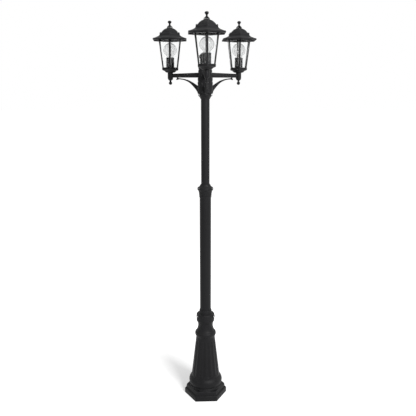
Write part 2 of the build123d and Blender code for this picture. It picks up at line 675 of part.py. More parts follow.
# Arm: tapered bar along +X and the round cup at its end, bored for the cable
lantern_axis = Axis((ARM_REACH, 0, 0), (0, 0, 1))
cup_round = (CUP_R * CUP_ROUND_SHARE, (cup_foot_z + cup_side_z) / 2 - 1)
with BuildPart() as arm:
    loft(
        [arm_section(arm_root, ARM_ROOT_W, ARM_ROOT_H), arm_section(ARM_REACH, ARM_TIP_W, ARM_TIP_H)],
        ruled=True,
    )
    with BuildSketch(Plane((ARM_REACH, 0, 0), x_dir=(1, 0, 0), z_dir=(0, -1, 0))):
        with BuildLine():
            Line((0, cup_foot_z), (CUP_FOOT_R, cup_foot_z))
            ThreePointArc((CUP_FOOT_R, cup_foot_z), cup_round, (CUP_R, cup_side_z))
            Polyline((CUP_R, cup_side_z), (CUP_R, cup_top_z), (0, cup_top_z), (0, cup_foot_z))
        make_face()
    revolve(axis=lantern_axis)
    with BuildSketch(Plane.YZ.offset(arm_root)):
        with Locations((0, arm_z - CABLE_BORE_DROP)):
            Circle(CABLE_BORE_D / 2)
    extrude(amount=ARM_REACH - arm_root, mode=Mode.SUBTRACT)
    with BuildSketch(Plane.YZ.offset(arm_root)):
        with Locations((0, arm_z + ARM_BOLT_RISE)):
            Circle(ARM_BOLT_D / 2 + SET_SCREW_GAP)
    extrude(amount=ARM_BOLT_L + 1, mode=Mode.SUBTRACT)
    with BuildSketch(Plane((ARM_REACH, 0, cup_bore_z))):
        Circle(NIPPLE_D / 2 + FIT_GAP)
    extrude(amount=cup_top_z - cup_bore_z, mode=Mode.SUBTRACT)
    with BuildSketch(Plane((ARM_REACH, 0, cup_foot_z))):
        Circle(NIPPLE_BORE_D / 2)
    extrude(amount=CUP_FLOOR, mode=Mode.SUBTRACT)
save_on_each_arm(arm.part, "arm")

# Brace: curved strap from the hub up to the arm, with a small leaf at its outer end
brace_root = upper_pole_r + HUB_T + FIT_GAP
leaf_tip = (ARM_REACH - LEAF_IN, arm_z + LEAF_DROP)
brace_span = leaf_tip[0] - brace_root
brace_low = [(brace_root + share * brace_span, arm_z + rise) for share, rise in BRACE_LOW]
brace_high = [(brace_root + share * brace_span, arm_z + rise) for share, rise in BRACE_HIGH]
leaf_top_z = arm_z - arm_height(brace_high[-1][0]) / 2 - FIT_GAP
root_low = (brace_root, arm_z + BRACE_ROOT_LOW)
root_high = (brace_root, arm_z + BRACE_ROOT_HIGH)
with BuildPart() as arm_brace:
    with BuildSketch(Plane.XZ):
        with BuildLine():
            ThreePointArc(root_low, brace_low[0], brace_low[1])
            ThreePointArc(brace_low[1], brace_low[2], brace_low[3])
            Polyline(
                brace_low[3],
                leaf_tip,
                (brace_root + LEAF_TOP_SHARE * brace_span, leaf_top_z),
                (brace_high[3][0], leaf_top_z),
                brace_high[3],
            )
            ThreePointArc(brace_high[3], brace_high[2], brace_high[1])
            ThreePointArc(brace_high[1], brace_high[0], root_high)
            Line(root_high, root_low)
        make_face()
    extrude(amount=BRACE_W / 2, both=True)
save_on_each_arm(arm_brace.part, "arm_brace")

# Drop finial: ball under the cup, its stud up the nipple
ball_neck_z = ball_z + (BALL_R**2 - BALL_NECK_R**2) ** 0.5
stud_r = NIPPLE_BORE_D / 2 - FIT_GAP
with BuildPart() as drop_finial:
    with BuildSketch(Plane.XZ):
        with BuildLine():
            ThreePointArc((0, ball_z - BALL_R), (BALL_R, ball_z), (BALL_NECK_R, ball_neck_z))
            Polyline(
                (BALL_NECK_R, ball_neck_z),
                (BALL_NECK_R, cup_foot_z - BALL_NECK_FLARE),
                (BALL_NECK_R + BALL_NECK_FLARE, cup_foot_z),
                (stud_r, cup_foot_z),
                (stud_r, cup_foot_z + BALL_STUD_L),
                (0, cup_foot_z + BALL_STUD_L),
                (0, ball_z - BALL_R),
            )
        make_face()
    revolve(axis=Axis.Z)
save_on_each_arm(drop_finial.part, "drop_finial", ARM_REACH)

# Lantern tray: hexagonal ogee dish on the cup
with BuildPart() as lantern_tray:
    hexagon_loft([(apothem, cup_top_z + rise) for apothem, rise in TRAY_OGEE] + [(tray_apothem, tray_top_z)])
    with BuildSketch(Plane.XY.offset(cup_top_z)):
        Circle(NIPPLE_D / 2 + FIT_GAP)
    extrude(amount=TRAY_H, mode=Mode.SUBTRACT)
save_on_each_arm(lantern_tray.part, "lantern_tray", ARM_REACH)

# Nipple: threaded tube that clamps cup, tray and lampholder, with its nut
with BuildPart() as nipple:
    with BuildSketch(Plane.XY.offset(cup_bore_z)):
        Circle(NIPPLE_D / 2)
        Circle(NIPPLE_BORE_D / 2, mode=Mode.SUBTRACT)
    extrude(amount=nut_z + NUT_H + NIPPLE_END - cup_bore_z)
    with BuildSketch(radial_plane(180, 0, arm_z - CABLE_BORE_DROP)):
        Circle(CABLE_BORE_D / 2 - FIT_GAP)
    extrude(amount=NIPPLE_D, mode=Mode.SUBTRACT)
    with BuildSketch(Plane.XY.offset(nut_z)):
        RegularPolygon(NUT_FLATS / 2 * HEX_CORNER, 6)
        Circle(NIPPLE_D / 2 + SET_SCREW_GAP, mode=Mode.SUBTRACT)
    extrude(amount=NUT_H)
save_on_each_arm(nipple.part, "nipple", ARM_REACH)

# Cage: bottom frame, six slanting posts and top frame, one casting
with BuildPart() as cage:
    with BuildSketch(Plane.XY.offset(tray_top_z)):
        RegularPolygon(tray_apothem * HEX_CORNER, 6)
        RegularPolygon((tray_apothem - CAGE_FOOT_W) * HEX_CORNER, 6, mode=Mode.SUBTRACT)
    extrude(amount=CAGE_FOOT_H)
    with BuildSketch(Plane.XY.offset(cage_head_low_z)):
        RegularPolygon(cage_head_outer * HEX_CORNER, 6)
        RegularPolygon((cage_head_outer - CAGE_HEAD_W) * HEX_CORNER, 6, mode=Mode.SUBTRACT)
    extrude(amount=CAGE_HEAD_H)
    for corner in range(6):
        for height in (tray_top_z, cage_head_z):
            with BuildSketch(Plane(Location((0, 0, height), (0, 0, corner * 60)))):
                with Locations((cage_apothem(height) * HEX_CORNER, 0)):
                    Rectangle(CAGE_POST_T, CAGE_POST_W)
        loft(ruled=True)
save_on_each_arm(cage.part, "cage", ARM_REACH)

# Panes: six sheets that stand on the bottom frame between the posts
post_edge = (CAGE_POST_W / 2 + FIT_GAP - PANE_T / 4) * HEX_CORNER
with BuildPart() as panes:
    for side in range(6):
        for height in (cage_foot_top_z, cage_head_low_z - FIT_GAP):
            apothem = cage_apothem(height)
            with BuildSketch(Plane(Location((0, 0, height), (0, 0, 30 + side * 60)))):
                with Locations((apothem, 0)):
                    Rectangle(PANE_T, apothem * HEX_CORNER - 2 * post_edge)
        loft(ruled=True)
save_on_each_arm(panes.part, "panes", ARM_REACH)

# Bulb: clear glass, screw cap and filament on its stem
with BuildPart() as bulb_glass:
    with BuildSketch(Plane.XZ):
        with BuildLine():
            bulb_outline(BULB_D / 2, bulb_neck_r)
        make_face()
    revolve(axis=Axis.Z)
    with BuildSketch(Plane.XZ):
        with BuildLine():
            bulb_outline(BULB_D / 2 - BULB_GLASS_T, bulb_neck_r - BULB_GLASS_T)
        make_face()
    revolve(axis=Axis.Z, mode=Mode.SUBTRACT)
save_on_each_arm(bulb_glass.part, "bulb_glass", ARM_REACH)

cap_wall_r = bulb_cap_r - BULB_CAP_T
contact_r = bulb_cap_r / 3
with BuildPart() as bulb_cap:
    with BuildSketch(Plane.XZ):
        with BuildLine():
            Polyline(
                (0, bulb_cap_foot_z),
                (contact_r, bulb_cap_foot_z),
                (contact_r + 1, bulb_cap_foot_z + 2),
                (bulb_cap_r, bulb_cap_foot_z + BULB_CAP_TAPER_H),
                (bulb_cap_r, bulb_cap_top_z),
                (cap_wall_r, bulb_cap_top_z),
                (cap_wall_r, bulb_cap_foot_z + BULB_CAP_TAPER_H + 2),
                (0, bulb_cap_foot_z + BULB_CAP_TAPER_H - 2),
                (0, bulb_cap_foot_z),
            )
        make_face()
    revolve(axis=Axis.Z)
save_on_each_arm(bulb_cap.part, "bulb_cap", ARM_REACH)

stem_foot_r = bulb_neck_r - BULB_GLASS_T - BULB_NECK_GAP
stem_top_z = glass_foot_z + STEM_H
filament_z = stem_top_z + FILAMENT_RISE
with BuildPart() as bulb_filament:
    with BuildSketch(Plane.XZ):
        with BuildLine():
            Polyline(
                (0, glass_foot_z),
                (stem_foot_r, glass_foot_z),
                (STEM_R, glass_foot_z + STEM_FLARE_H),
                (STEM_TOP_R, stem_top_z),
                (0, stem_top_z),
                (0, glass_foot_z),
            )
        make_face()
    revolve(axis=Axis.Z)
    with BuildSketch(Plane.XZ):
        with BuildLine():
            Polyline(
                (0, stem_top_z - 1),
                (FILAMENT_SPAN / 2, filament_z),
                (FILAMENT_SPAN / 4, filament_z - FILAMENT_DIP),
                (0, filament_z),
                (-FILAMENT_SPAN / 4, filament_z - FILAMENT_DIP),
                (-FILAMENT_SPAN / 2, filament_z),
                (0, stem_top_z - 1),
            )
        make_face()
        offset(amount=-WIRE_D, mode=Mode.SUBTRACT)
    extrude(amount=WIRE_D / 2, both=True)
save_on_each_arm(bulb_filament.part, "bulb_filament", ARM_REACH)

# Lampholder: sleeve on the tray, open at the top for the bulb
socket_z = bulb_cap_foot_z - FIT_GAP
with BuildPart() as lampholder:
    with BuildSketch(Plane.XY.offset(tray_top_z)):
        Circle(HOLDER_D / 2)
    extrude(amount=HOLDER_H)
    rim_edge = lampholder.edges().filter_by(GeomType.CIRCLE).sort_by(Axis.Z)[-1]
    chamfer(rim_edge, HOLDER_EDGE)
    with BuildSketch(Plane.XY.offset(socket_z)):
        Circle(bulb_cap_r + RUN_GAP)
    extrude(amount=holder_top_z - socket_z, mode=Mode.SUBTRACT)
    with BuildSketch(Plane.XY.offset(nut_z)):
        Circle(HOLDER_NUT_BORE_D / 2)
    extrude(amount=NUT_H + HOLDER_NUT_ROOM, mode=Mode.SUBTRACT)
    with BuildSketch(Plane.XY.offset(tray_top_z)):
        Circle(NIPPLE_D / 2 + FIT_GAP)
    extrude(amount=HOLDER_FLOOR, mode=Mode.SUBTRACT)
save_on_each_arm(lampholder.part, "lampholder", ARM_REACH)

# Roof: thin casting that rests on the cage's top frame, its flange around the frame
eave_apothem = CAGE_HEAD_APOTHEM + EAVE_REACH
dome_foot = eave_apothem - ROOF_SKIRT[-1][0]
dome_top = CROWN_R + CROWN_SEAT
skirt_levels = [(eave_apothem - inward, eave_z + rise) for inward, rise in ROOF_SKIRT]
dome_levels = [(dome_foot + (dome_top - dome_foot) * share, eave_z + rise) for share, rise in ROOF_DOME]
sloping_levels = skirt_levels[2:] + dome_levels[:-2]
inner_levels = [(apothem - ROOF_WALL, height - ROOF_WALL) for apothem, height in sloping_levels]
inner_foot = (eave_apothem - ROOF_WALL, eave_z)
inner_top = (dome_levels[-2][0] - ROOF_WALL, roof_top_z - ROOF_TOP_WALL)
flange_inner = cage_head_outer + FIT_GAP
flange_outer = flange_inner + ROOF_FLANGE_W
roof_screw_z = cage_head_z - ROOF_FLANGE_H / 2
with BuildPart() as roof:
    hexagon_loft(skirt_levels + dome_levels)
    hexagon_loft([inner_foot, *inner_levels, inner_top], mode=Mode.SUBTRACT)
    with BuildSketch(Plane.XY.offset(cage_head_z)):
        RegularPolygon(flange_outer * HEX_CORNER, 6)
        RegularPolygon((cage_head_outer - ROOF_SEAT_IN) * HEX_CORNER, 6, mode=Mode.SUBTRACT)
    extrude(amount=ROOF_SEAT_H)
    with BuildSketch(Plane.XY.offset(cage_head_z - ROOF_FLANGE_H)):
        RegularPolygon(flange_outer * HEX_CORNER, 6)
        RegularPolygon(flange_inner * HEX_CORNER, 6, mode=Mode.SUBTRACT)
    extrude(amount=ROOF_FLANGE_H)
    for turn in range(SCREW_COUNT):
        with BuildSketch(radial_plane(30 + turn * 120, flange_inner - 1, roof_screw_z)):
            Circle(ROOF_SCREW_D / 2 + ROOF_SCREW_GAP)
        extrude(amount=ROOF_FLANGE_W + 2, mode=Mode.SUBTRACT)
    with BuildSketch(Plane.XY.offset(roof_top_z - 2 * ROOF_TOP_WALL)):
        Circle(FINIAL_SCREW_D / 2 + FIT_GAP)
    extrude(amount=3 * ROOF_TOP_WALL, mode=Mode.SUBTRACT)
save_on_each_arm(roof.part, "roof", ARM_REACH)

# Roof screws: three small ones through the flange, against the cage's top frame
with BuildPart() as roof_screws:
    for turn in range(SCREW_COUNT):
        screw_plane = radial_plane(30 + turn * 120, flange_outer, roof_screw_z)
        with BuildSketch(screw_plane):
            Circle(ROOF_SCREW_D / 2)
        extrude(amount=-(ROOF_FLANGE_W + FIT_GAP / 2))
        with BuildSketch(screw_plane):
            Circle(ROOF_SCREW_HEAD_D / 2)
        extrude(amount=ROOF_SCREW_HEAD_H)
save_on_each_arm(roof_screws.part, "roof_screws", ARM_REACH)

# Crown: ring on the dome, six curved legs and a collar
with BuildPart() as crown:
    with BuildSketch(Plane.XY.offset(roof_top_z)):
        Circle(CROWN_R)
        Circle(CROWN_R - CROWN_RING_W, mode=Mode.SUBTRACT)
    extrude(amount=CROWN_RING_H)
    for leg in range(6):
        for low, high in zip(CROWN_LEGS, CROWN_LEGS[1:]):
            for radius, rise in (low, high):
                with BuildSketch(Plane(Location((0, 0, roof_top_z + rise), (0, 0, 30 + leg * 60)))):
                    with Locations((radius, 0)):
                        Rectangle(CROWN_LEG_W, CROWN_LEG_W)
            loft(ruled=True)
    with BuildSketch(Plane.XY.offset(crown_collar_z)):
        Circle(CROWN_COLLAR_R)
    extrude(amount=CROWN_COLLAR_H)
    with BuildSketch(Plane.XY.offset(roof_top_z)):
        Circle(FINIAL_SCREW_D / 2 + FIT_GAP)
    extrude(amount=crown_top_z - roof_top_z, mode=Mode.SUBTRACT)
save_on_each_arm(crown.part, "crown", ARM_REACH)

# Finial: ball knob on the crown, its screw down through crown and dome
screw_r = FINIAL_SCREW_D / 2
screw_tip_z = crown_top_z - FINIAL_SCREW_L
finial_wide_z = crown_top_z + FINIAL_RISE
with BuildPart() as finial:
    with BuildSketch(Plane.XZ):
        with BuildLine():
            Polyline(
                (0, screw_tip_z),
                (screw_r, screw_tip_z),
                (screw_r, crown_top_z),
                (FINIAL_FOOT_R, crown_top_z),
                (FINIAL_NECK_R, crown_top_z + FINIAL_NECK_RISE),
                (FINIAL_SWELL_R, crown_top_z + FINIAL_SWELL_RISE),
                (FINIAL_R, finial_wide_z),
            )
            cap_arc(FINIAL_R, finial_wide_z, crown_top_z + FINIAL_H)
            Line((0, crown_top_z + FINIAL_H), (0, screw_tip_z))
        make_face()
    revolve(axis=Axis.Z)
save_on_each_arm(finial.part, "finial", ARM_REACH)
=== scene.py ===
"""Triple head lamp post: cast detail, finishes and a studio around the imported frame."""

import functools
import json
import math

import bmesh
import bpy
from mathutils import Matrix, Vector


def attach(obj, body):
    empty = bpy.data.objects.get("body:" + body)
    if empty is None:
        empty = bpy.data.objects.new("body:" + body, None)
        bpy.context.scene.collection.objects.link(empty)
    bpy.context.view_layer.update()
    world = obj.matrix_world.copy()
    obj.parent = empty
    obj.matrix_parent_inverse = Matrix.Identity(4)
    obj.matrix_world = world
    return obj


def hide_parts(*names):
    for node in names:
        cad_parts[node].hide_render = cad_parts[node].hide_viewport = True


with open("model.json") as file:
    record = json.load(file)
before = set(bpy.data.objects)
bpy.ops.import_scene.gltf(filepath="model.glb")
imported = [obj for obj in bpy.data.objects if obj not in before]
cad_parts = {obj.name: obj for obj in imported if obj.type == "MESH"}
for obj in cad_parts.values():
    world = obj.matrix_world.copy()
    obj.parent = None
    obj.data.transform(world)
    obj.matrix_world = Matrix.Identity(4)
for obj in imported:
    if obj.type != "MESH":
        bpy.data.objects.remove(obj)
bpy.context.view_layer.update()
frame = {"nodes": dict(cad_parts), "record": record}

bl_info = {
    "name": "Triple head lamp post",
    "version": (1, 0, 0),
    "blender": (4, 5, 0),
    "location": "3D View > Sidebar > Lamp post",
    "description": "Models the castings, lanterns, finishes and studio of a garden lamp post",
    "category": "Object",
}

MM = 0.001  # pieces are drawn in mm, and their meshes are in metres
HEX_CORNER = 1 / math.cos(math.pi / 6)  # corner radius of a hexagon with apothem 1
ARMS = {"front": -90.0, "right": 30.0, "left": 150.0}
ARM_REACH = 196.0  # post axis to lantern axis
ARM_HEIGHT = 1680.0  # middle line of the arms
SCREW_ANGLES = (90.0, 210.0, 330.0)
CORNER_ANGLES = range(0, 360, 60)  # corners of a lantern
FACE_ANGLES = range(30, 390, 60)  # middles of its faces
WELD = 2e-6  # points nearer than this, in metres, are one


# -------- modelling helpers


def clear_selection():
    """Leaves edit mode and selects nothing."""
    if bpy.context.object and bpy.context.object.mode != "OBJECT":
        bpy.ops.object.mode_set(mode="OBJECT")
    bpy.ops.object.select_all(action="DESELECT")


def take(*pieces):
    """Selects these pieces alone, the first one active."""
    clear_selection()
    for piece in pieces:
        piece.select_set(True)
    bpy.context.view_layer.objects.active = pieces[0]


def edit(piece, kind="FACE"):
    """Opens a piece in edit mode with nothing selected."""
    take(piece)
    bpy.ops.object.mode_set(mode="EDIT")
    bpy.ops.mesh.select_mode(type=kind)
    bpy.ops.mesh.select_all(action="DESELECT")


def pick_sides(piece):
    """Selects the faces of the piece being edited that look along Y."""
    mesh = bmesh.from_edit_mesh(piece.data)
    for face in mesh.faces:
        face.select_set(abs(face.normal.y) > 0.9)  # within 26 degrees
    mesh.select_flush_mode()
    bmesh.update_edit_mesh(piece.data)


def named(name):
    """Names the piece that was just made."""
    piece = bpy.context.object
    piece.name = piece.data.name = name
    return piece


def close_outward():
    """Turns all faces of the piece being edited outwards, and leaves edit mode."""
    bpy.ops.mesh.select_all(action="SELECT")
    bpy.ops.mesh.normals_make_consistent(inside=False)
    bpy.ops.object.mode_set(mode="OBJECT")


def reshape(piece, move):
    """Moves every vertex to where move puts its place, in mm."""
    for vertex in piece.data.vertices:
        vertex.co = Vector(move(*(vertex.co / MM))) * MM


def spun(name, profile, steps, closed=False):
    """Draws (radius, height) points as a line and spins it round the Z axis.

    A closed profile is a ring with a bore, an open one ends on the axis."""
    points = [*profile, profile[0]] if closed else list(profile)
    places = [Vector((radius * MM, 0, height * MM)) for radius, height in points]
    clear_selection()
    bpy.ops.mesh.primitive_plane_add(size=MM, location=(0, 0, 0))
    piece = named(name)
    bpy.ops.object.mode_set(mode="EDIT")
    bpy.ops.mesh.select_mode(type="VERT")
    bpy.ops.mesh.select_all(action="SELECT")
    bpy.ops.mesh.merge(type="CENTER")
    bpy.ops.transform.translate(value=places[0])
    for here, there in zip(places, places[1:]):
        bpy.ops.mesh.extrude_region_move(TRANSFORM_OT_translate={"value": there - here})
    bpy.ops.mesh.select_all(action="SELECT")
    bpy.ops.mesh.spin(steps=steps, angle=math.tau, center=(0, 0, 0), axis=(0, 0, 1))
    bpy.ops.mesh.select_all(action="SELECT")
    bpy.ops.mesh.remove_doubles(threshold=WELD)
    close_outward()
    return piece


def hexagonal(name, profile, closed=False):
    """Spins a profile of (apothem, height) points in six steps, a corner towards +X."""
    return spun(name, [(apothem * HEX_CORNER, height) for apothem, height in profile], 6, closed)


def disc(name, corners, radius=1.0):
    """Opens a new flat face with so many corners in edit mode, all of it selected."""
    clear_selection()
    bpy.ops.mesh.primitive_circle_add(
        vertices=corners, radius=radius * MM, fill_type="NGON", location=(0, 0, 0))
    piece = named(name)
    edit(piece)
    bpy.ops.mesh.select_all(action="SELECT")
    return piece


def swept(name, rings):
    """A closed bar through rings of corners: each ring lists its (x, y, z) places."""
    corners = len(rings[0])
    piece = disc(name, corners)
    for _ in rings[1:]:
        bpy.ops.mesh.extrude_region_move(TRANSFORM_OT_translate={"value": (0, 0, MM)})
    bpy.ops.object.mode_set(mode="OBJECT")
    reshape(piece, lambda x, y, z: rings[round(z)][
        round((math.atan2(y, x) / math.tau - 0.25) * corners) % corners])
    edit(piece)
    close_outward()
    return piece


def soften(piece, width, segments=2, angle=30.0):
    """Rounds the edges that turn by more than an angle."""
    take(piece)
    bevel = piece.modifiers.new("Round", "BEVEL")
    bevel.width = width * MM
    bevel.segments = segments
    bevel.limit_method = "ANGLE"
    bevel.angle_limit = math.radians(angle)
    bpy.ops.object.modifier_apply(modifier=bevel.name)


def smooth(piece, angle=35.0):
    """Smooth shading, sharp where faces turn by more than an angle."""
    take(piece)
    bpy.ops.object.shade_smooth_by_angle(angle=math.radians(angle))


def joined(name, *pieces):
    """One piece made of several."""
    take(*pieces)
    bpy.ops.object.join()
    return named(name)


def placed(piece, move=(0, 0, 0), turn=(0, 0, 0), name=None):
    """Moves and turns a piece, in mm and degrees, or a copy of it where a name is given."""
    take(piece)
    if name:
        bpy.ops.object.duplicate()
        piece = named(name)
    piece.location = Vector(move) * MM
    piece.rotation_euler = [math.radians(angle) for angle in turn]
    bpy.ops.object.transform_apply(location=True, rotation=True, scale=True)
    return piece


def ring_of(piece, angles):
    """Joins copies of a piece, each turned to one of the angles round Z."""
    name = piece.name
    copies = [placed(piece, turn=(0, 0, angle), name=name + "_copy") for angle in angles]
    bpy.data.objects.remove(piece)
    return joined(name, *copies)


def between_two(a, b, c, d, t):
    """The place at t, from 0 to 1, on a smooth line from b to c that a and d lead into."""
    bend = 2 * a - 5 * b + 4 * c - d
    twist = 3 * b - a - 3 * c + d
    return 0.5 * (2 * b + (c - a) * t + bend * t**2 + twist * t**3)


def curve(points, steps=4):
    """A smooth line through points, with so many steps from each to the next."""
    ends = [points[0], *points, points[-1]]
    line = [
        tuple(between_two(*four, step / steps) for four in zip(*around))
        for around in zip(ends, ends[1:], ends[2:], ends[3:]) for step in range(steps)
    ]
    return [*line, points[-1]]


def straight(low, high, steps):
    """Evenly spaced points from low up to high."""
    return [
        tuple(a + (b - a) * step / steps for a, b in zip(low, high)) for step in range(steps + 1)]


def ease(low, high, value):
    """0 below low, 1 above high, smooth between."""
    share = min(1.0, max(0.0, (value - low) / (high - low)))
    return share * share * (3 - 2 * share)


def coated(piece, slot):
    """Gives a piece the finish of a slot, and no other."""
    piece.data.materials.clear()
    piece.data.materials.append(finish(slot))


def settle(piece, body, slot, node, look=None):
    """Gives a finished piece its finish, its body and the node that it stands for."""
    coated(piece, look or slot)
    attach(piece, body)
    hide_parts(node)


def on_each_arm(piece, node, slot, body="post", reach=ARM_REACH, look=None):
    """Puts a copy of a piece on each arm in place of a node, and removes the pattern.

    reach is how far out a piece goes that was made on the axis."""
    name = piece.name
    for side, angle in ARMS.items():
        out = Matrix.Rotation(math.radians(angle), 4, "Z") @ Vector((reach, 0, 0))
        copy = placed(piece, out, (0, 0, angle), f"{name}_{side}")
        settle(copy, body.format(side), slot, f"{node}_{side}", look)
    bpy.data.objects.remove(piece)


# -------- finishes


class Signal:
    """A number or colour in a material: arithmetic on it adds Math nodes."""

    def __init__(self, paint, socket):
        self.paint, self.socket = paint, socket

    def math(self, operation, *values):
        return self.paint.node("Math", dict(enumerate(values)), operation=operation)

    def __add__(self, other):
        return self.math("ADD", self, other)

    def __sub__(self, other):
        return self.math("SUBTRACT", self, other)

    def __rsub__(self, other):
        return self.math("SUBTRACT", other, self)

    def __mul__(self, other):
        return self.math("MULTIPLY", self, other)

    def between(self, low, high):
        """0 at low, 1 at high and clamped."""
        return self.paint.node(
            "MapRange", {"Value": self, "From Min": low, "From Max": high},
            interpolation_type="SMOOTHSTEP")

    __radd__ = __add__
    __rmul__ = __mul__


class Paint:
    """The nodes of one material, or of the surroundings."""

    def __init__(self, owner):
        owner.use_nodes = True
        self.owner, self.tree = owner, owner.node_tree
        self.tree.nodes.clear()

    def node(self, kind, values=None, output=0, **settings):
        """Adds a node: its settings first, then what its sockets hold. Gives one output."""
        made = self.tree.nodes.new("ShaderNode" + kind)
        for key, value in settings.items():
            setattr(made, key, value)
        for key, value in (values or {}).items():
            if isinstance(value, Signal):
                self.tree.links.new(value.socket, made.inputs[key])
            else:
                made.inputs[key].default_value = value
        return Signal(self, made.outputs[output]) if made.outputs else None

    def place(self, scale=(1, 1, 1)):
        """Object coordinates, in metres."""
        object_place = self.node("TexCoord", output="Object")
        return self.node("Mapping", {"Vector": object_place, "Scale": scale})

    def noise(self, scale, detail=2.0, stretch=(1, 1, 1), roughness=0.5):
        return self.node("TexNoise", {
            "Vector": self.place(stretch), "Scale": scale, "Detail": detail,
            "Roughness": roughness})

    def mix(self, share, low, high):
        """A colour between two. A Mix node's colours are its sockets 6 and 7, and output 2."""
        return self.node("Mix", {0: share, 6: low, 7: high}, output=2, data_type="RGBA")

    def up(self):
        """How far a face looks up, from 0 to 1."""
        normal = self.node("NewGeometry", output="Normal")
        return self.node("SeparateXYZ", {0: normal}, output="Z").between(0.1, 1.0)

    def edges(self, low, high):
        """1 on outer edges."""
        return self.node("NewGeometry", output="Pointiness").between(low, high)

    def bump(self, height, strength, distance):
        return self.node(
            "Bump", {"Height": height, "Strength": strength, "Distance": distance})

    def seen(self):
        """1 for what the camera sees, directly or in metal or glass, and 0 for light."""
        straight_on, mirrored, through = (
            self.node("LightPath", output=f"Is {kind} Ray")
            for kind in ("Camera", "Glossy", "Transmission"))
        return (straight_on + mirrored + through).between(0.0, 1.0)

    def surface(self, values):
        """Ends the material in one Principled shader, and gives the material."""
        return self.end(self.node("BsdfPrincipled", values))

    def end(self, shader, output="OutputMaterial"):
        """Ends the nodes in a shader, and gives what they belong to."""
        self.node(output, {"Surface": shader})
        return self.owner


def material(name):
    return Paint(bpy.data.materials.new(name))


def colour(values):
    return (*values[:3], 1.0)


def shaded(values, share):
    """A colour made lighter or darker."""
    return colour([part * share for part in values[:3]])


def coat(name, grain, lumps, streak, cast):
    """Black powder coat: how fine its peel is, and the lumps of the metal under it.

    Cast metal is less even than tube, and its edges rub bare."""
    looks = bpy.context.scene.lamp_looks
    paint = material(name)
    base = looks.coat_colour
    cloud = paint.noise(7.0, 4.0, streak, 0.6)
    mottle = paint.noise(70.0, 3.0)
    peel = paint.noise(grain, 2.0)
    lump = paint.noise(lumps, 3.0)
    speck = paint.noise(1400.0, 1.0).between(0.62, 0.74)
    dust = paint.up() * paint.noise(28.0, 4.0).between(0.35, 0.75)
    tone = paint.mix(cloud.between(0.3, 0.72), shaded(base, 0.8), shaded(base, 1.15))
    tone = paint.mix(mottle.between(0.35, 0.75) * 0.3, tone, shaded(base, 1.35))
    tone = paint.mix(speck * 0.2, tone, shaded(base, 2.0))
    tone = paint.mix(dust * looks.dust, tone, colour(looks.dust_colour))
    rough = cloud * 0.1 + mottle * 0.08 + (looks.coat_roughness - 0.08) + dust * 0.14
    if cast:
        wear = paint.edges(0.53, 0.62) * paint.noise(240.0, 3.0).between(0.38, 0.62)
        tone = paint.mix(wear * looks.wear, tone, colour(looks.wear_colour))
        rough = rough - wear * 0.06
    height = peel * 0.06 + lump * (0.35 if cast else 0.12)
    return paint.surface({
        "Base Color": tone,
        "Roughness": rough,
        "Normal": paint.bump(height, 0.5, 0.0006),
        "IOR": 1.46,
        "Specular IOR Level": 0.13,
    })


def steel(name, tint, rough, scratch):
    """Metal with turning marks and a little grime."""
    paint = material(name)
    lines = paint.noise(scratch, 3.0, (1, 1, 14))
    grime = paint.noise(160.0, 4.0).between(0.45, 0.8)
    tone = paint.mix(lines.between(0.3, 0.7), shaded(tint, 0.8), shaded(tint, 1.12))
    tone = paint.mix(grime * 0.45, tone, shaded(tint, 0.3))
    return paint.surface({
        "Base Color": tone,
        "Metallic": 1.0,
        "Roughness": lines * 0.18 + grime * 0.2 + rough,
        "Normal": paint.bump(lines, 0.25, 0.0001),
    })


def plastic(name, tint, rough):
    """Moulded plastic: a fine grain and rubbed patches."""
    paint = material(name)
    patch = paint.noise(45.0, 3.0).between(0.35, 0.7)
    grain = paint.noise(1600.0, 2.0)
    tone = paint.mix(patch, shaded(tint, 0.82), shaded(tint, 1.2))
    tone = paint.mix(paint.edges(0.53, 0.62) * 0.3, tone, shaded(tint, 1.8))
    return paint.surface({
        "Base Color": tone,
        "Roughness": patch * -0.1 + grain * 0.08 + rough,
        "Normal": paint.bump(grain, 0.3, 0.0002),
        "Specular IOR Level": 0.25,
    })


def glass(name, tint, film, rough, bend):
    """Clear glass that lets the lamps through, with a faint film in patches."""
    paint = material(name)
    smear = paint.noise(38.0, 4.0, (1, 1, 0.4)).between(0.42, 0.8)
    ripple = paint.noise(9.0, 1.0)
    clear = paint.node("BsdfPrincipled", {
        "Base Color": paint.mix(smear, colour(tint), shaded(tint, film)),
        "Roughness": smear * 0.02 + rough,
        "Normal": paint.bump(ripple, 0.1, 0.0002),
        "IOR": bend,
        "Transmission Weight": 1.0,
    })
    lamps = paint.node("LightPath", output="Is Shadow Ray")
    through = paint.node("BsdfTransparent", {"Color": (0.96, 0.96, 0.96, 1.0)})
    return paint.end(paint.node("MixShader", {0: lamps, 1: clear, 2: through}))


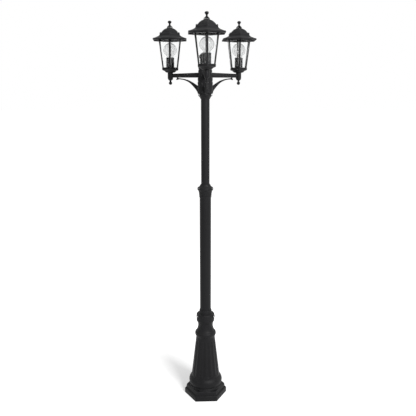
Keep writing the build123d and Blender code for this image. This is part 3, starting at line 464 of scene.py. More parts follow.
FINISHES = {
    "cast_coat": lambda: coat(
        "Cast satin black", grain=620.0, lumps=130.0, streak=(1, 1, 1), cast=True),
    "pole_coat": lambda: coat(
        "Tube satin black", grain=900.0, lumps=40.0, streak=(1, 1, 0.22), cast=False),
    "screw_steel": lambda: steel(
        "Screw steel", bpy.context.scene.lamp_looks.screw_colour, rough=0.22, scratch=300.0),
    "blackened_steel": lambda: steel(
        "Blackened steel", (0.06, 0.06, 0.062), rough=0.35, scratch=300.0),
    "plated_steel": lambda: steel("Plated steel", (0.55, 0.56, 0.57), rough=0.3, scratch=180.0),
    "cap_brass": lambda: steel("Cap brass", (0.72, 0.6, 0.35), rough=0.25, scratch=260.0),
    "filament_wire": lambda: steel("Lead wire", (0.42, 0.4, 0.38), rough=0.32, scratch=400.0),
    "holder_plastic": lambda: plastic("Holder thermoset", (0.016, 0.016, 0.017), rough=0.5),
    "block_plastic": lambda: plastic("Block nylon", (0.75, 0.74, 0.7), rough=0.45),
    "pane_glass": lambda: glass(
        "Pane glass", (0.985, 0.99, 0.99), film=0.98, rough=0.005, bend=1.2),
    "bulb_glass": lambda: glass(
        "Bulb glass", (0.87, 0.87, 0.87), film=0.92, rough=0.02, bend=1.46),
}


@functools.cache
def finish(slot):
    """The material of a slot, made on first use."""
    return FINISHES[slot]()


# -------- settings


class LampSizes(bpy.types.PropertyGroup):
    """Sizes of the cast detail."""

    flute_depth: bpy.props.FloatProperty(
        name="Flute depth", description="Depth of the flutes in the base",
        default=0.0026, unit="LENGTH")
    leaf_relief: bpy.props.FloatProperty(
        name="Leaf relief", description="How far the hub's leaves stand out",
        default=0.003, unit="LENGTH")
    rosette_radius: bpy.props.FloatProperty(
        name="Rosette radius", description="Radius of the rosette on each roof face",
        default=0.0108, unit="LENGTH")


class LampLooks(bpy.types.PropertyGroup):
    """Colours and wear of the finishes."""

    coat_colour: bpy.props.FloatVectorProperty(
        name="Coat", description="Colour of the powder coat", subtype="COLOR", size=3,
        default=(0.013, 0.013, 0.014), min=0.0, max=1.0)
    coat_roughness: bpy.props.FloatProperty(
        name="Coat roughness", description="How satin the powder coat is",
        default=0.47, subtype="FACTOR")
    dust_colour: bpy.props.FloatVectorProperty(
        name="Dust", description="Colour of the dust that settles on top", subtype="COLOR", size=3,
        default=(0.12, 0.12, 0.115), min=0.0, max=1.0)
    dust: bpy.props.FloatProperty(
        name="Dust amount", description="Share of dust on faces that look up",
        default=0.1, subtype="FACTOR")
    wear_colour: bpy.props.FloatVectorProperty(
        name="Wear", description="Colour of rubbed edges", subtype="COLOR", size=3,
        default=(0.09, 0.09, 0.094), min=0.0, max=1.0)
    wear: bpy.props.FloatProperty(
        name="Wear amount", description="Share of rubbed coat on edges",
        default=0.5, subtype="FACTOR")
    screw_colour: bpy.props.FloatVectorProperty(
        name="Screws", description="Colour of the set screws", subtype="COLOR", size=3,
        default=(0.6, 0.6, 0.61), min=0.0, max=1.0)


class LampStage(bpy.types.PropertyGroup):
    """Studio settings."""

    key_power: bpy.props.FloatProperty(
        name="Key light", description="Power of the large lamp at the front right",
        default=170.0, unit="POWER")
    fill_power: bpy.props.FloatProperty(
        name="Fill light", description="Power of the lamp at the left", default=4.0, unit="POWER")
    room_light: bpy.props.FloatProperty(
        name="Room light", description="Strength of the soft light from all round", default=0.07)
    floor_colour: bpy.props.FloatVectorProperty(
        name="Floor", description="Colour of the floor", subtype="COLOR", size=3,
        default=(0.9, 0.9, 0.9), min=0.0, max=1.0)


# -------- pieces


def boss(radius, bore, root, reach, height):
    """A bored screw boss that points out along +X, from root to reach off the axis."""
    edge = 0.9
    piece = spun("boss", [
        (bore, root), (radius, root), (radius, reach - edge),
        (radius - 0.3 * edge, reach - 0.3 * edge), (radius - edge, reach), (bore + 0.5, reach),
        (bore, reach - 0.5),
    ], steps=40, closed=True)
    return placed(piece, (0, 0, height), (0, 90, 0))


def socket_screws(name, tip, reach, height):
    """Three socket screws that point at the axis, each from its tip out to its head."""
    flats, outer = 1.7, 3.95  # apothem of the socket, radius of the head
    screw = spun(name, [
        (0, tip), (2.6, tip), (3.4, tip + 1.2), (3.4, reach - 5), (outer, reach - 4.4),
        (outer, reach - 1.1), (3.3, reach - 0.4), (2.4, reach), (2.2, reach - 0.3),
        (2.3, reach - 3.6), (0, reach - 4.2),
    ], steps=24)

    def hexagon(x, y, z):
        radius = math.hypot(x, y)
        if z < reach - 3.9 or not 0.1 < radius < 2.45:
            return x, y, z
        angle = math.atan2(y, x)
        side = (angle + math.pi / 6) % (math.pi / 3) - math.pi / 6
        share = flats / math.cos(side) / radius
        return x * share, y * share, z

    reshape(screw, hexagon)
    placed(screw, (0, 0, height), (0, 90, 0))
    smooth(screw)
    return ring_of(screw, SCREW_ANGLES)


def settle_screwed(
        casting, node, screws, screws_node, height, radius, bore, root, reach, tip, head):
    """Settles a turned casting with three screw bosses, and its set screws.

    The bosses have a radius and a bore and run from root to reach, the screws from tip to head."""
    bosses = ring_of(boss(radius, bore, root, reach, height), SCREW_ANGLES)
    smooth(bosses)
    settle(joined(casting.name, casting, bosses), "post", "cast_coat", node)
    settle(socket_screws(screws, tip, head, height), "post", "screw_steel", screws_node)


class LAMPPOST_OT_plinth(bpy.types.Operator):
    """Hexagonal plinth with a stepped moulding, and the round foot ring on it."""

    bl_idname = "lamp_post.plinth"
    bl_label = "Hexagonal plinth"

    def execute(self, context):
        hexagon = spun("hexagonal_plinth", [
            (112.5, 0), (112.5, 24.6), (111.9, 26.3), (110.4, 27), (109.2, 27), (108.8, 28.4),
            (108, 29.6), (106.8, 29.9), (105.8, 29.2), (105.4, 28.4),
            *curve([(105.2, 29.4), (104.6, 33), (103.9, 38), (102.9, 43), (102.6, 46.6)], steps=3),
            (101.7, 47.4), (101.6, 49.2), (100.8, 50), (91, 50.6), (91, 46), (104, 24), (106.7, 22),
            (106.7, 0),
        ], steps=6, closed=True)
        soften(hexagon, 0.9, segments=3, angle=34)
        ring = spun("foot_ring", [
            (83.5, 49.6), (87, 49.6), (88, 50.6), (88, 52.8), (87.4, 53.4), (87.4, 54), (88, 54.6),
            *curve([(88, 56.4), (87.7, 58), (86.4, 59.3), (84.6, 60)], steps=3),
            (83.6, 60.6), (83, 61.9), (79, 62), (79, 49.6),
        ], steps=144, closed=True)
        piece = joined("hexagonal_plinth", hexagon, ring)
        smooth(piece)
        settle(piece, "post", "cast_coat", "plinth")
        return {"FINISHED"}


class LAMPPOST_OT_base(bpy.types.Operator):
    """Fluted base: big bead, cone with sixteen flutes, neck bead, neck and screw ring."""

    bl_idname = "lamp_post.base"
    bl_label = "Fluted base"

    def execute(self, context):
        flutes, columns = 16, 14  # columns of faces to a flute
        flute_half, plain = 5 / 14, 9  # half a flute's share of its pitch, plain cone at its ends
        depth = context.scene.lamp_sizes.flute_depth / MM
        cone_low, cone_high = (74.2, 110.0), (49.8, 325.0)
        base = spun("fluted_base", [
            (83, 62.1),
            *curve([(83.4, 63), (86.3, 69), (88, 79), (87.4, 88), (83.8, 97.5), (78.6, 104.6),
                    (76.2, 107)]),
            (75.6, 107.6), (75.4, 108.6),
            *straight(cone_low, cone_high, steps=96),
            (49.6, 331), (50.2, 333.6), (50.4, 335),
            *curve([(50.8, 335.6), (53.6, 340.4), (55.2, 347), (54.8, 353.6), (52, 359.4),
                    (49.6, 361.6)]),
            (48.9, 362.2), (48.8, 363.4),
            *curve([(48.2, 364.2), (44.6, 370), (41.4, 379), (39.5, 389), (39.2, 398), (39.9, 406),
                    (42, 412.6)]),
            (42.9, 413.6), (43, 415), (44.4, 416.4),
            *curve([(44.8, 416.8), (46.3, 419.4), (47, 423)], steps=3),
            (47, 428), (46.5, 428.6), (46.5, 429.4), (47, 430), (47, 452.6),
            *curve([(47, 453.4), (46.2, 456.8), (44.2, 459), (42, 460)], steps=3),
            (34.6, 460.4), (33.2, 461.2), (32.6, 463), (31.9, 479.6), (31.2, 481), (29.2, 481),
            (29.2, 385), (34, 375), (44.6, 325), (69, 108), (78, 62.1),
        ], steps=flutes * columns, closed=True)
        pitch = math.tau / flutes

        def flute(x, y, z):
            radius = math.hypot(x, y)
            share = (z - cone_low[1]) / (cone_high[1] - cone_low[1])
            surface = cone_low[0] + (cone_high[0] - cone_low[0]) * share
            if not 0 < share < 1 or abs(radius - surface) > 0.5:
                return x, y, z
            angle = math.atan2(y, x) % pitch - pitch / 2
            half = flute_half * pitch * surface
            low, high = cone_low[1] + plain + half, cone_high[1] - plain - half
            away = math.hypot(angle * surface, max(0.0, low - z, z - high)) / half
            cut = depth * max(0.0, 1 - away**2) ** 0.75
            return x * (1 - cut / radius), y * (1 - cut / radius), z

        reshape(base, flute)
        smooth(base, 38)
        settle_screwed(
            base, "base_cover", "base_screws", "base_set_screws",
            height=450.0, radius=10.0, bore=4.2, root=40.0, reach=50.2, tip=29.0, head=51.2)
        return {"FINISHED"}


class LAMPPOST_OT_collar(bpy.types.Operator):
    """Collar over the joint of the two poles, with grooves below its ring."""

    bl_idname = "lamp_post.collar"
    bl_label = "Grooved collar"

    def execute(self, context):
        collar = spun("grooved_collar", [
            (29.2, 1083.2), (30.2, 1083), (30.8, 1083.8), (31, 1089.6), (30.3, 1090.4),
            (30.3, 1091.6), (31.3, 1092.4), (31.8, 1101.4), (31.1, 1102.3), (31.2, 1103.5),
            (32.3, 1104.4),
            *curve([(32.5, 1105), (33, 1109), (34, 1112.6)], steps=3),
            (33.5, 1113.4), (33.6, 1114.6), (34.9, 1115.4),
            *curve([(35.2, 1115.8), (37, 1118.2), (38.9, 1120.6), (39.7, 1123.4), (39.7, 1127),
                    (39.4, 1130.4), (37.8, 1133)]),
            (37.2, 1133.6), (36.6, 1133.8),
            *curve([(36.2, 1134.2), (32.4, 1136.4), (29, 1139.4), (26.8, 1143)]),
            (26.6, 1144), (25.4, 1144.8), (24.6, 1148.2), (23.9, 1149), (21.2, 1149),
            (21.2, 1105.2), (29.2, 1105.2),
        ], steps=144, closed=True)
        smooth(collar)
        settle_screwed(
            collar, "mid_collar", "collar_screws", "collar_set_screws",
            height=1130.5, radius=6.0, bore=4.15, root=30.0, reach=40.2, tip=21.0, head=39.9)
        return {"FINISHED"}


def leaf_height(across, along, width):
    """Relief of one leaf, from 0 to about 1, across its middle rib and along from root to tip."""
    if not 0 < along < 1:
        return 0.0
    lobes = 1 - 0.2 * abs(math.sin(5.5 * math.pi * along)) ** 1.6
    half = width * (0.5 + 0.5 * math.sin(math.pi * min(1.0, along * 1.15) ** 0.8)) * lobes
    half *= 1 - ease(0.55, 1.0, along) * 0.86
    inside = half - abs(across)
    if inside <= 0:
        return 0.0
    body = ease(0.0, 1.3, inside) * (0.62 - 0.18 * (abs(across) / half) ** 2)
    vein = math.sin((along * 11 - abs(across) * 0.13) * math.pi)
    rib = math.exp(-((across / 0.8) ** 2)) * (1 - 0.6 * along)
    curl = 0.55 * ease(0.66, 0.96, along) * ease(0.0, 2.2, inside)
    return body + 0.1 * vein * ease(0.3, 2.5, inside) + 0.3 * rib * ease(0.0, 0.8, inside) + curl


class LAMPPOST_OT_hub(bpy.types.Operator):
    """Hub with tiers of leaves, its rings, screws and turned cap."""

    bl_idname = "lamp_post.hub"
    bl_label = "Leaf hub and cap"

    def execute(self, context):
        relief = context.scene.lamp_sizes.leaf_relief / MM
        hub = spun("leaf_hub", [
            (21.2, 1566.2), (22.2, 1566), (23, 1567),
            *curve([(23.4, 1568), (25.6, 1573), (28.6, 1577.4), (32, 1580.6)]),
            (33.2, 1581.6), (34, 1583.2), (34, 1587.2), (33.4, 1588.4), (32.2, 1589.2),
            (31.8, 1590.4), (32.6, 1591.6),
            *curve([(33, 1592), (34.4, 1594), (34.6, 1597), (34, 1610), (33.4, 1628), (33.4, 1645),
                    (34.2, 1658), (33.8, 1664), (32, 1669.6), (31, 1675)], steps=11),
            *straight((31, 1676.4), (31, 1704), steps=20),
            (31.4, 1705), (32, 1705.6), (32, 1706.8), (31.5, 1707.4), (31.5, 1708.2),
            (32.6, 1709.2), (33.2, 1711), (33.2, 1716.4), (32.6, 1717.8), (31.2, 1718.4),
            (31, 1720), (24.4, 1720), (24.4, 1640), (21.2, 1632),
        ], steps=240, closed=True)
        tiers = [  # first angle, root, tip, half width, strength
            (0.0, 1592.5, 1650, 11.5, 1.0),
            (-30.0, 1604.0, 1672, 12.0, 0.9),
            (0.0, 1652.0, 1703, 10.0, 0.8),
            (-30.0, 1662.0, 1705, 7.0, 0.55),
        ]

        def leaves(x, y, z):
            radius = math.hypot(x, y)
            if radius < 30.6 or not 1591.8 < z < 1704.6:
                return x, y, z
            angle = math.degrees(math.atan2(y, x))
            height = 0.0
            for first, root, tip, width, strength in tiers:
                across = math.radians((angle - first + 30) % 60 - 30) * radius
                along = (z - root) / (tip - root)
                height = max(height, strength * leaf_height(across, along, width))
            out = 1 + relief * height / radius
            return x * out, y * out, z

        reshape(hub, leaves)
        smooth(hub, 60)
        settle_screwed(
            hub, "hub_casting", "hub_screws", "hub_set_screws",
            height=1586.0, radius=5.5, bore=4.15, root=26.0, reach=34.9, tip=21.0, head=35.6)
        cap = spun("turned_cap", [
            (0, 1712), (23, 1712), (23, 1720), (27.3, 1720.2), (27.4, 1721.2),
            *curve([(27, 1722), (25.6, 1724.4), (25.1, 1727.6)], steps=3),
            *straight((25, 1729), (25, 1752.6), steps=6),
            *curve([(25.2, 1754), (25.8, 1756.6), (27.6, 1758.8)], steps=3),
            (28.2, 1759.2), (28.8, 1760.4), (28.8, 1763.8), (28.3, 1764.4), (28.3, 1765.4),
            (28.8, 1766), (28.8, 1768.8), (28.2, 1770), (27, 1770.4), (26.7, 1771.2),
            *curve([(26.3, 1771.6), (22.6, 1776), (15.4, 1781), (7.4, 1784.1), (0, 1785)]),
        ], steps=120)
        smooth(cap)
        settle(cap, "post", "cast_coat", "hub_cap")
        return {"FINISHED"}


class LAMPPOST_OT_arms(bpy.types.Operator):
    """Tapered arms with a raised band on each side and a round cup at the end."""

    bl_idname = "lamp_post.arms"
    bl_label = "Arms"

    def execute(self, context):
        top, side, band, high, deep = 4.5, 9.0, 3.2, 10.8, 12.4
        outline = [
            (top, high), (side, band), (side, -band), (top, -deep),
            (-top, -deep), (-side, -band), (-side, band), (-top, high),
        ]
        bar = swept("arm_casting", [
            [(x, y * wide, ARM_HEIGHT + z * tall) for y, z in outline]
            for x, wide, tall in ((27.2, 1, 1), (194, 14 / 18, 16.6 / 21.6))  # hub, cup
        ])
        edit(bar)
        pick_sides(bar)
        bpy.ops.mesh.inset(thickness=1.1 * MM, depth=0.0)
        bpy.ops.mesh.inset(thickness=0.5 * MM, depth=0.6 * MM)
        bpy.ops.object.mode_set(mode="OBJECT")
        soften(bar, 0.7, angle=20)
        smooth(bar)
        cup = spun("cup", [
            (0, 1657), (5.6, 1657), (6.2, 1657.4),
            *curve([(6.6, 1657.6), (9.6, 1659.2), (12, 1662.6), (13.2, 1666.6), (13.5, 1669.6)]),
            (13.5, 1687), (13, 1687.6), (13, 1688.6), (13.5, 1689.2), (13.5, 1693.2), (12.9, 1694),
            (0, 1694),
        ], steps=64)
        smooth(cup)
        placed(cup, (ARM_REACH, 0, 0))
        on_each_arm(joined("arm_casting", bar, cup), "arm", "cast_coat", reach=0)
        return {"FINISHED"}


class LAMPPOST_OT_braces(bpy.types.Operator):
    """Curved braces with sunken sides and a small leaf at the outer end."""

    bl_idname = "lamp_post.braces"
    bl_label = "Leaf braces"

    def execute(self, context):
        low = curve([
            (36.3, 1590), (44.5, 1604), (56, 1618), (84, 1643), (116, 1657), (150, 1661.6),
        ], steps=5)
        high = curve([
            (36.3, 1625), (44, 1630.6), (54, 1636.5), (84, 1652.6), (116, 1662.4), (150, 1667),
        ], steps=5)
        last = len(low) - 1
        rings = []
        for step, ((low_x, low_z), (high_x, high_z)) in enumerate(zip(low, high)):
            tall = math.hypot(high_x - low_x, high_z - low_z)
            out = 4.5 - 1.5 * step / last
            sunk = out - 1.1 * ease(2, 5, step) * (1 - ease(last - 3, last, step))
            corners = [
                (0, -out), (0, out), (1.3, out), (1.8, sunk),
                (tall - 1.8, sunk), (tall - 1.3, out), (tall, out), (tall, -out),
                (tall - 1.3, -out), (tall - 1.8, -sunk), (1.8, -sunk), (1.3, -out),
            ]
            rings.append([
                (low_x + (high_x - low_x) * up / tall, y, low_z + (high_z - low_z) * up / tall)
                for up, y in corners])
        strap = swept("leaf_brace", rings)
        soften(strap, 0.4)
        smooth(strap)
        outline = [
            (145.6, 1661.4), (150, 1660.9), (153.4, 1659.6), (157.4, 1658.6), (161, 1659),
            (160.6, 1661.8), (158.6, 1664.2), (157, 1667), (156.4, 1670.4), (153.4, 1670.6),
            (152.4, 1668.6), (150, 1667.2), (145.6, 1666.8),
        ]
        leaf = swept("leaf", [[(x, y, z) for x, z in outline] for y in (-3.4, 3.4)])
        edit(leaf)
        pick_sides(leaf)
        bpy.ops.mesh.inset(thickness=1.4 * MM, depth=0.9 * MM)
        bpy.ops.object.mode_set(mode="OBJECT")
        soften(leaf, 0.4, angle=25)
        smooth(leaf)
        on_each_arm(joined("leaf_brace", strap, leaf), "arm_brace", "cast_coat", reach=0)
        return {"FINISHED"}


class LAMPPOST_OT_drops(bpy.types.Operator):
    """Ball drops under the cups."""

    bl_idname = "lamp_post.drops"
    bl_label = "Ball drops"

    def execute(self, context):
        drop = spun("ball_drop", [
            *curve([(0, 1635.3), (3, 1635.9), (5.9, 1637.8), (7.8, 1640.9), (8.2, 1643.6),
                    (7.6, 1646.8), (6, 1649.2), (4.5, 1650.8)]),
            (4.1, 1651.2), (4.9, 1651.9), (4.9, 1652.7), (4.1, 1653.4), (4.2, 1654.6),
            (5.4, 1655.4), (5.7, 1656), (5.6, 1657), (2.8, 1657), (2.8, 1660), (0, 1660),
        ], steps=48)
        smooth(drop)
        on_each_arm(drop, "drop_finial", "cast_coat")
        return {"FINISHED"}


class LAMPPOST_OT_trays(bpy.types.Operator):
    """Hexagonal ogee trays under the lanterns."""

    bl_idname = "lamp_post.trays"
    bl_label = "Lantern trays"

    def execute(self, context):
        tray = hexagonal("ogee_tray", [
            (0, 1694), (14.6, 1694),
            *curve([(15.2, 1694.1), (19.8, 1695), (24, 1697.2), (27, 1700.4), (29.6, 1702.8),
                    (33.4, 1704.4), (37.4, 1705.8)], steps=3),
            (38.2, 1706.2), (38.4, 1707), (39.4, 1707.6), (39.4, 1711.4), (38.8, 1712), (0, 1712),
        ])
        soften(tray, 0.7, angle=28)
        smooth(tray)
        on_each_arm(tray, "lantern_tray", "cast_coat")
        return {"FINISHED"}


class LAMPPOST_OT_cages(bpy.types.Operator):
    """Cages: bottom frame, six slanting posts and top frame."""

    bl_idname = "lamp_post.cages"
    bl_label = "Cages"

    def execute(self, context):
        foot = hexagonal("cage_foot", [
            (34.4, 1712), (39.4, 1712), (39.4, 1716.8), (38.4, 1718), (35.2, 1718), (34.4, 1717.2),
        ], closed=True)
        head = hexagonal("cage_head", [
            (49.8, 1846), (54.6, 1846), (55.7, 1847), (55.7, 1852), (49.8, 1852),
        ], closed=True)
        outline = [(1.75, 0), (0.2, 4.4), (-1.75, 4.4), (-1.3, 0), (-1.75, -4.4), (0.2, -4.4)]
        post = swept("cage_post", [
            [(apothem * HEX_CORNER + x, y, z) for x, y in outline]
            for apothem, z in ((35.63, 1712.4), (52, 1851.6))
        ])
        posts = ring_of(post, CORNER_ANGLES)
        cage = joined("cage_frame", posts, foot, head)
        soften(cage, 0.5, angle=25)
        smooth(cage)
        on_each_arm(cage, "cage", "cast_coat")
        return {"FINISHED"}


class LAMPPOST_OT_holders(bpy.types.Operator):
    """Lampholders: ribbed sleeve with a plain upper part and a rim."""

    bl_idname = "lamp_post.holders"
    bl_label = "Lampholders"

    def execute(self, context):
        ribs, per_rib = 20, 8
        holder = spun("ribbed_holder", [
            (10, 1712.4), (19.2, 1712.4), (19.75, 1713), (19.75, 1715), (19.2, 1715.6),
            *straight((19.4, 1716.4), (19.4, 1744), steps=10),
            (19.2, 1744.8), (19.7, 1745.6), (19.7, 1748), (19.1, 1748.6), (19.1, 1761.4),
            (19.6, 1762.2), (19.75, 1763), (19.75, 1765), (19, 1766), (14.6, 1766), (13.8, 1765.2),
            (13.8, 1739.4), (10, 1739.4),
        ], steps=ribs * per_rib, closed=True)

        def rib(x, y, z):
            radius = math.hypot(x, y)
            if radius < 19.3 or not 1716 < z < 1744.4:
                return x, y, z
            turn = math.atan2(y, x) * ribs
            share = 1 - 0.4 * ease(-0.2, 0.7, math.cos(turn)) / radius
            return x * share, y * share, z

        reshape(holder, rib)
        smooth(holder, 50)
        on_each_arm(holder, "lampholder", "holder_plastic")
        return {"FINISHED"}


def coil_of(name, span, height):
    """A coiled wire along X: a small circle turned and moved by the Screw modifier."""
    turns, coil_radius, wire_radius = 16, 0.75, 0.18
    clear_selection()
    bpy.ops.mesh.primitive_circle_add(
        vertices=6, radius=wire_radius * MM, location=(coil_radius * MM, 0, 0),
        rotation=(math.pi / 2, 0, 0))
    coil = named(name)
    bpy.ops.object.transform_apply(location=True, rotation=True)
    screw = coil.modifiers.new("Turns", "SCREW")
    screw.axis = "Z"
    screw.steps = screw.render_steps = 10
    screw.iterations = turns
    screw.screw_offset = 2 * span / turns * MM
    screw.use_smooth_shade = True
    bpy.ops.object.modifier_apply(modifier=screw.name)
    edit(coil, "EDGE")
    bpy.ops.mesh.select_non_manifold(extend=False)
    bpy.ops.mesh.edge_face_add()
    close_outward()
    return placed(coil, (-span, 0, height), (0, 90, 0))


class LAMPPOST_OT_bulbs(bpy.types.Operator):
    """Clear bulbs: blown glass, stem, lead wires and coiled filament."""

    bl_idname = "lamp_post.bulbs"
    bl_label = "Bulbs"

    def execute(self, context):
        centre, radius, shoulder, steps = 1802.0, 32.5, 40.0, 26
        sphere = []
        for step in range(steps + 1):
            angle = math.radians(-shoulder + (90 + shoulder) * step / steps)
            out = radius * math.cos(angle) if step < steps else 0.0
            sphere.append((out, centre + radius * math.sin(angle)))
        neck = curve([
            (12.2, 1754), (12.2, 1760), (12.6, 1764.6), (15.4, 1770), (20.4, 1776.4), sphere[0],
        ])
        envelope = spun("blown_glass", [(0, 1752.6), (11.4, 1752.6), *neck, *sphere[1:]], steps=72)
        take(envelope)
        wall = envelope.modifiers.new("Wall", "SOLIDIFY")
        wall.thickness = MM
        wall.offset = -1.0
        bpy.ops.object.modifier_apply(modifier=wall.name)
        smooth(envelope, 60)
        on_each_arm(envelope, "bulb_glass", "bulb_glass", "bulb_{}")
        stem = spun("filament_mount", [
            (0, 1754), (10.6, 1754), (8.2, 1757),
            *curve([(5.4, 1761), (4, 1766), (3.2, 1774), (2.9, 1780), (1.6, 1782),
                    (0, 1782.4)], steps=3),
        ], steps=32)
        smooth(stem)
        span, middle = 11.0, 1797.0  # half the coil's length, and its height
        parts = [stem]
        for side, foot, below in ((1, 1780, 0), (-1, 1780, 0), (0.45, 1781, 2), (-0.45, 1781, 2)):
            tall = middle - below - foot
            wire = spun("wire", [(0, 0), (0.3, 0), (0.28, tall), (0, tall + 0.2)], steps=10)

            def lean(x, y, z, side=side, foot=foot, tall=tall):
                return x + side * (2 + (span - 2) * ease(0.0, 1.0, z / tall)), y, z + foot

            reshape(wire, lean)
            parts.append(wire)
        mount = joined("filament_mount", *parts, coil_of("coil", span, middle))
        smooth(mount, 60)
        on_each_arm(mount, "bulb_filament", "filament_wire", "bulb_{}")
        return {"FINISHED"}


def rosette():
    """A round flower in relief, looking up +Z."""
    radius = bpy.context.scene.lamp_sizes.rosette_radius / MM
    flower = spun("rosette", [(radius * share, height) for share, height in (
        (0, -2.5), (0.98, -2.5), (1, -0.4), (0.97, 0.5), (0.91, 0.95), (0.84, 0.6), (0.8, 0.05),
        (0.72, 0.15), (0.6, 0.4), (0.46, 0.5), (0.34, 0.35), (0.27, 0.1), (0.22, 0.75),
        (0.12, 1.3), (0, 1.5),
    )], steps=48)

    def petal(x, y, z):
        away = math.hypot(x, y) / radius
        if z < 0 or not 0.28 < away < 0.82:
            return x, y, z
        fold = abs(math.cos(4 * math.atan2(y, x))) ** 0.7
        return x, y, z + fold * math.sin(math.pi * ease(0.24, 0.84, away)) - 0.15

    reshape(flower, petal)
    smooth(flower, 50)
    return flower


class LAMPPOST_OT_roofs(bpy.types.Operator):
    """Hexagonal roofs: eave, flared skirt, step and dome, a rosette on each face."""

    bl_idname = "lamp_post.roofs"
    bl_label = "Roofs"

    def execute(self, context):
        shell = hexagonal("rosette_roof", [
            (80.6, 1847.5), (81.5, 1848.2), (81.5, 1850.4), (80.9, 1851), (81.1, 1851.6),
            (81.1, 1853), (80.2, 1853.9),
            *curve([(79.4, 1854.2), (72.6, 1856.2), (66.4, 1858.8), (60.4, 1861.6), (55.4, 1864.4),
                    (51, 1868), (48.6, 1872), (47.9, 1875)]),
            (47.9, 1876.2), (47.1, 1877.2), (45.8, 1877.6), (43.2, 1878.4), (42.3, 1879.2),
            (42.2, 1880.2), (41.4, 1881),
            *curve([(40.9, 1881.4), (39.2, 1884), (36.6, 1887.6), (33.1, 1891.6), (29.1, 1895.2),
                    (24.8, 1898.6), (20, 1901.2), (15.6, 1903.2)], steps=3),
            (14.6, 1903.9), (2.8, 1904), (2.8, 1899), (18.1, 1899), (30, 1888.4), (36.8, 1880.8),
            (44.3, 1875), (46.6, 1868), (53.4, 1861.4), (64.4, 1856.2), (78.8, 1850.6),
            (79, 1847.5),
        ], closed=True)
        soften(shell, 0.9, segments=3, angle=24)
        seat = hexagonal("roof_seat", [
            (56.1, 1848), (59.1, 1848), (59.1, 1858.6), (50.9, 1860), (50.9, 1852), (56.1, 1852),
        ], closed=True)
        soften(seat, 0.4, segments=1)
        slope = math.degrees(math.atan2(1896.4 - 1888, 36.2 - 27.6))  # of the dome's face
        flower = placed(rosette(), (32.2, 0, 1891.4), (0, 90 - slope, 0))
        flowers = ring_of(flower, FACE_ANGLES)
        smooth(shell, 40)
        stud = spun("corner_stud", [
            (0, 1873), (3.4, 1873), (4.1, 1875), (4.2, 1878), (3.6, 1880.6), (2.2, 1882.4),
            (0, 1883),
        ], steps=20)
        smooth(stud)
        placed(stud, (51.5, 0, 0))
        studs = ring_of(stud, CORNER_ANGLES)
        roof = joined("rosette_roof", shell, seat, flowers, studs)
        on_each_arm(roof, "roof", "cast_coat", "roof_{}")
        pin = spun("roof_pins", [
            (0, 56.6), (1.4, 56.6), (1.4, 59.1), (3.5, 59.1), (3.6, 59.6), (3.4, 60.9), (2.7, 61.5),
            (0, 61.5),
        ], steps=24)
        smooth(pin)
        placed(pin, (0, 0, 1850), (0, 90, 0))
        pins = ring_of(pin, FACE_ANGLES[::2])
        on_each_arm(pins, "roof_screws", "screw_steel", "roof_{}", look="blackened_steel")
        return {"FINISHED"}


class LAMPPOST_OT_crowns(bpy.types.Operator):
    """Open crowns: a ring, six curved legs and a collar."""

    bl_idname = "lamp_post.crowns"
    bl_label = "Crowns"

    def execute(self, context):
        ring = spun("open_crown", [
            (9.4, 1904), (13, 1904), (13.4, 1904.5), (13.4, 1905.4), (12.8, 1906), (10, 1906),
            (9.4, 1905.4),
        ], steps=72, closed=True)
        collar = spun("crown_collar", [
            (2.6, 1916.6), (3.6, 1916.6), (4.5, 1917.4), (4.8, 1918.2), (4.8, 1919.6),
            (4.2, 1920.4), (2.6, 1920.4),
        ], steps=48, closed=True)
        legs = curve([(11.5, 1905.2), (11.6, 1908.4), (9.6, 1912), (6.4, 1915.2), (3.2, 1917.9)])
        leg = disc("crown_leg", 8, 2.1)
        bpy.ops.transform.translate(value=(legs[0][0] * MM, 0, legs[0][1] * MM))
        for (x, z), (next_x, next_z) in zip(legs, legs[1:]):
            bpy.ops.mesh.extrude_region_move(
                TRANSFORM_OT_translate={"value": ((next_x - x) * MM, 0, (next_z - z) * MM)})
        close_outward()
        crown = joined("open_crown", ring, collar, ring_of(leg, FACE_ANGLES))
        smooth(crown, 50)
        on_each_arm(crown, "crown", "cast_coat", "roof_{}")
        return {"FINISHED"}


class LAMPPOST_OT_finials(bpy.types.Operator):
    """Bud-shaped knobs on the crowns, with the screw below."""

    bl_idname = "lamp_post.finials"
    bl_label = "Finials"

    def execute(self, context):
        knob = spun("bud_knob", [
            (0, 1894.6), (1.8, 1894.6), (2.4, 1895.4), (2.4, 1920.5), (4.3, 1920.5), (4.4, 1921.2),
            (3.9, 1921.9), (3.9, 1922.8),
            *curve([(4, 1923.2), (4.7, 1925.4), (6.4, 1927.8), (8.2, 1929.8), (9.2, 1932.3),
                    (8.8, 1935), (7, 1937.3), (4, 1938.9), (0, 1939.5)]),
        ], steps=48)
        smooth(knob)
        on_each_arm(knob, "finial", "cast_coat", "finial_{}")
        return {"FINISHED"}


class LAMPPOST_OT_kept(bpy.types.Operator):
    """Gives every frame part that still shows the material of its slot."""

    bl_idname = "lamp_post.kept"
    bl_label = "Finish the kept parts"

    def execute(self, context):
        slots = {part["node"]: part["material_slot"] for part in frame["record"]["subparts"]}
        for node, part in frame["nodes"].items():
            if not part.hide_render:
                coated(part, slots[node])
        return {"FINISHED"}


# -------- studio

BLACK = (0, 0, 0, 1)
WHITE = (1, 1, 1, 1)
CAMERA_PLACE = (-0.090, -2.573, 1.576)  # metres
CAMERA_DOWN = 12.05  # degrees below level
CAMERA_TURN = -2.3  # degrees about Z


def lamp(name, place, size, power, target):
    """A large soft lamp that looks at a target."""
    clear_selection()
    bpy.ops.object.light_add(type="AREA", location=place)
    light = named(name)
    light.data.shape = "RECTANGLE"
    light.data.size, light.data.size_y = size
    light.data.energy = power
    light.rotation_euler = (Vector(target) - Vector(place)).to_track_quat("-Z", "Y").to_euler()


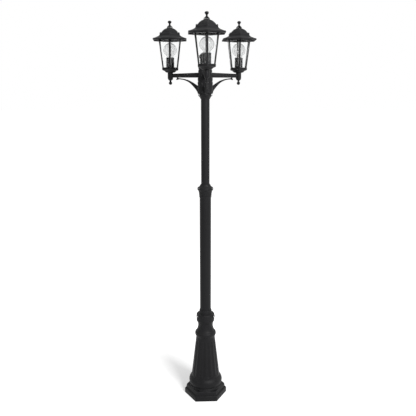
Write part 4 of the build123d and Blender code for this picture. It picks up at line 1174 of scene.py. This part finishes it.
class LAMPPOST_OT_stage(bpy.types.Operator):
    """Floor, soft lamps, white surroundings and the camera of the photograph."""

    bl_idname = "lamp_post.stage"
    bl_label = "Studio"

    def execute(self, context):
        scene = context.scene
        stage = scene.lamp_stage
        scene.view_settings.view_transform = "Standard"
        clear_selection()
        bpy.ops.mesh.primitive_plane_add(size=80, location=(0, 20, 0))
        floor = named("floor")
        bpy.ops.object.transform_apply(location=True)
        paint = material("Pale floor")
        away = paint.node("VectorMath", {0: paint.place()}, output="Value", operation="LENGTH")
        glow = away.between(0.1, 0.9) * 0.4 + 0.6  # less at the foot, where the shadow lies
        matt = paint.node("BsdfDiffuse", {"Color": colour(stage.floor_colour)})
        light = paint.node("Emission", {"Color": paint.mix(glow * paint.seen(), BLACK, WHITE)})
        floor.data.materials.append(paint.end(paint.node("AddShader", {0: matt, 1: light})))
        scene.world = bpy.data.worlds.new("Studio")
        sky = Paint(scene.world)
        light = sky.mix(sky.seen(), shaded(WHITE, stage.room_light), WHITE)
        sky.end(sky.node("Background", {"Color": light}), "OutputWorld")
        lamp("key_lamp", (1.75, -3.05, 3.2), (1.2, 0.9), stage.key_power, (0, 0, 1.2))
        lamp("fill_lamp", (-2.9, -1.4, 1.6), (1.2, 1.6), stage.fill_power, (0, 0, 1.0))
        clear_selection()
        bpy.ops.object.camera_add(location=CAMERA_PLACE)
        camera = named("camera")
        camera.rotation_euler = (math.radians(90 - CAMERA_DOWN), 0, math.radians(CAMERA_TURN))
        camera.data.lens = 45.0
        camera.data.sensor_width = 36.0
        scene.camera = camera
        return {"FINISHED"}


# -------- operators and panel

OPERATORS = (
    LAMPPOST_OT_plinth, LAMPPOST_OT_base, LAMPPOST_OT_collar, LAMPPOST_OT_hub,
    LAMPPOST_OT_arms, LAMPPOST_OT_braces, LAMPPOST_OT_drops, LAMPPOST_OT_trays,
    LAMPPOST_OT_cages, LAMPPOST_OT_holders, LAMPPOST_OT_bulbs, LAMPPOST_OT_roofs,
    LAMPPOST_OT_crowns, LAMPPOST_OT_finials, LAMPPOST_OT_kept, LAMPPOST_OT_stage,
)


class LAMPPOST_PT_panel(bpy.types.Panel):
    """Lists the steps in the sidebar of the 3D view."""

    bl_label = "Lamp post"
    bl_idname = "LAMPPOST_PT_panel"
    bl_space_type = "VIEW_3D"
    bl_region_type = "UI"
    bl_category = "Lamp post"

    def draw(self, context):
        for group in (context.scene.lamp_sizes, context.scene.lamp_looks, context.scene.lamp_stage):
            for name in group.__annotations__:
                self.layout.prop(group, name)
        for step in OPERATORS:
            self.layout.operator(step.bl_idname)


CLASSES = (LampSizes, LampLooks, LampStage, *OPERATORS, LAMPPOST_PT_panel)


def register():
    for item in CLASSES:
        bpy.utils.register_class(item)
    bpy.types.Scene.lamp_sizes = bpy.props.PointerProperty(type=LampSizes)
    bpy.types.Scene.lamp_looks = bpy.props.PointerProperty(type=LampLooks)
    bpy.types.Scene.lamp_stage = bpy.props.PointerProperty(type=LampStage)


def unregister():
    del bpy.types.Scene.lamp_sizes, bpy.types.Scene.lamp_looks, bpy.types.Scene.lamp_stage
    for item in reversed(CLASSES):
        bpy.utils.unregister_class(item)


def main():
    """Builds the whole scene, step by step."""
    register()
    for step in OPERATORS:
        getattr(bpy.ops.lamp_post, step.bl_idname.partition(".")[2])()


if __name__ == "__main__":
    main()
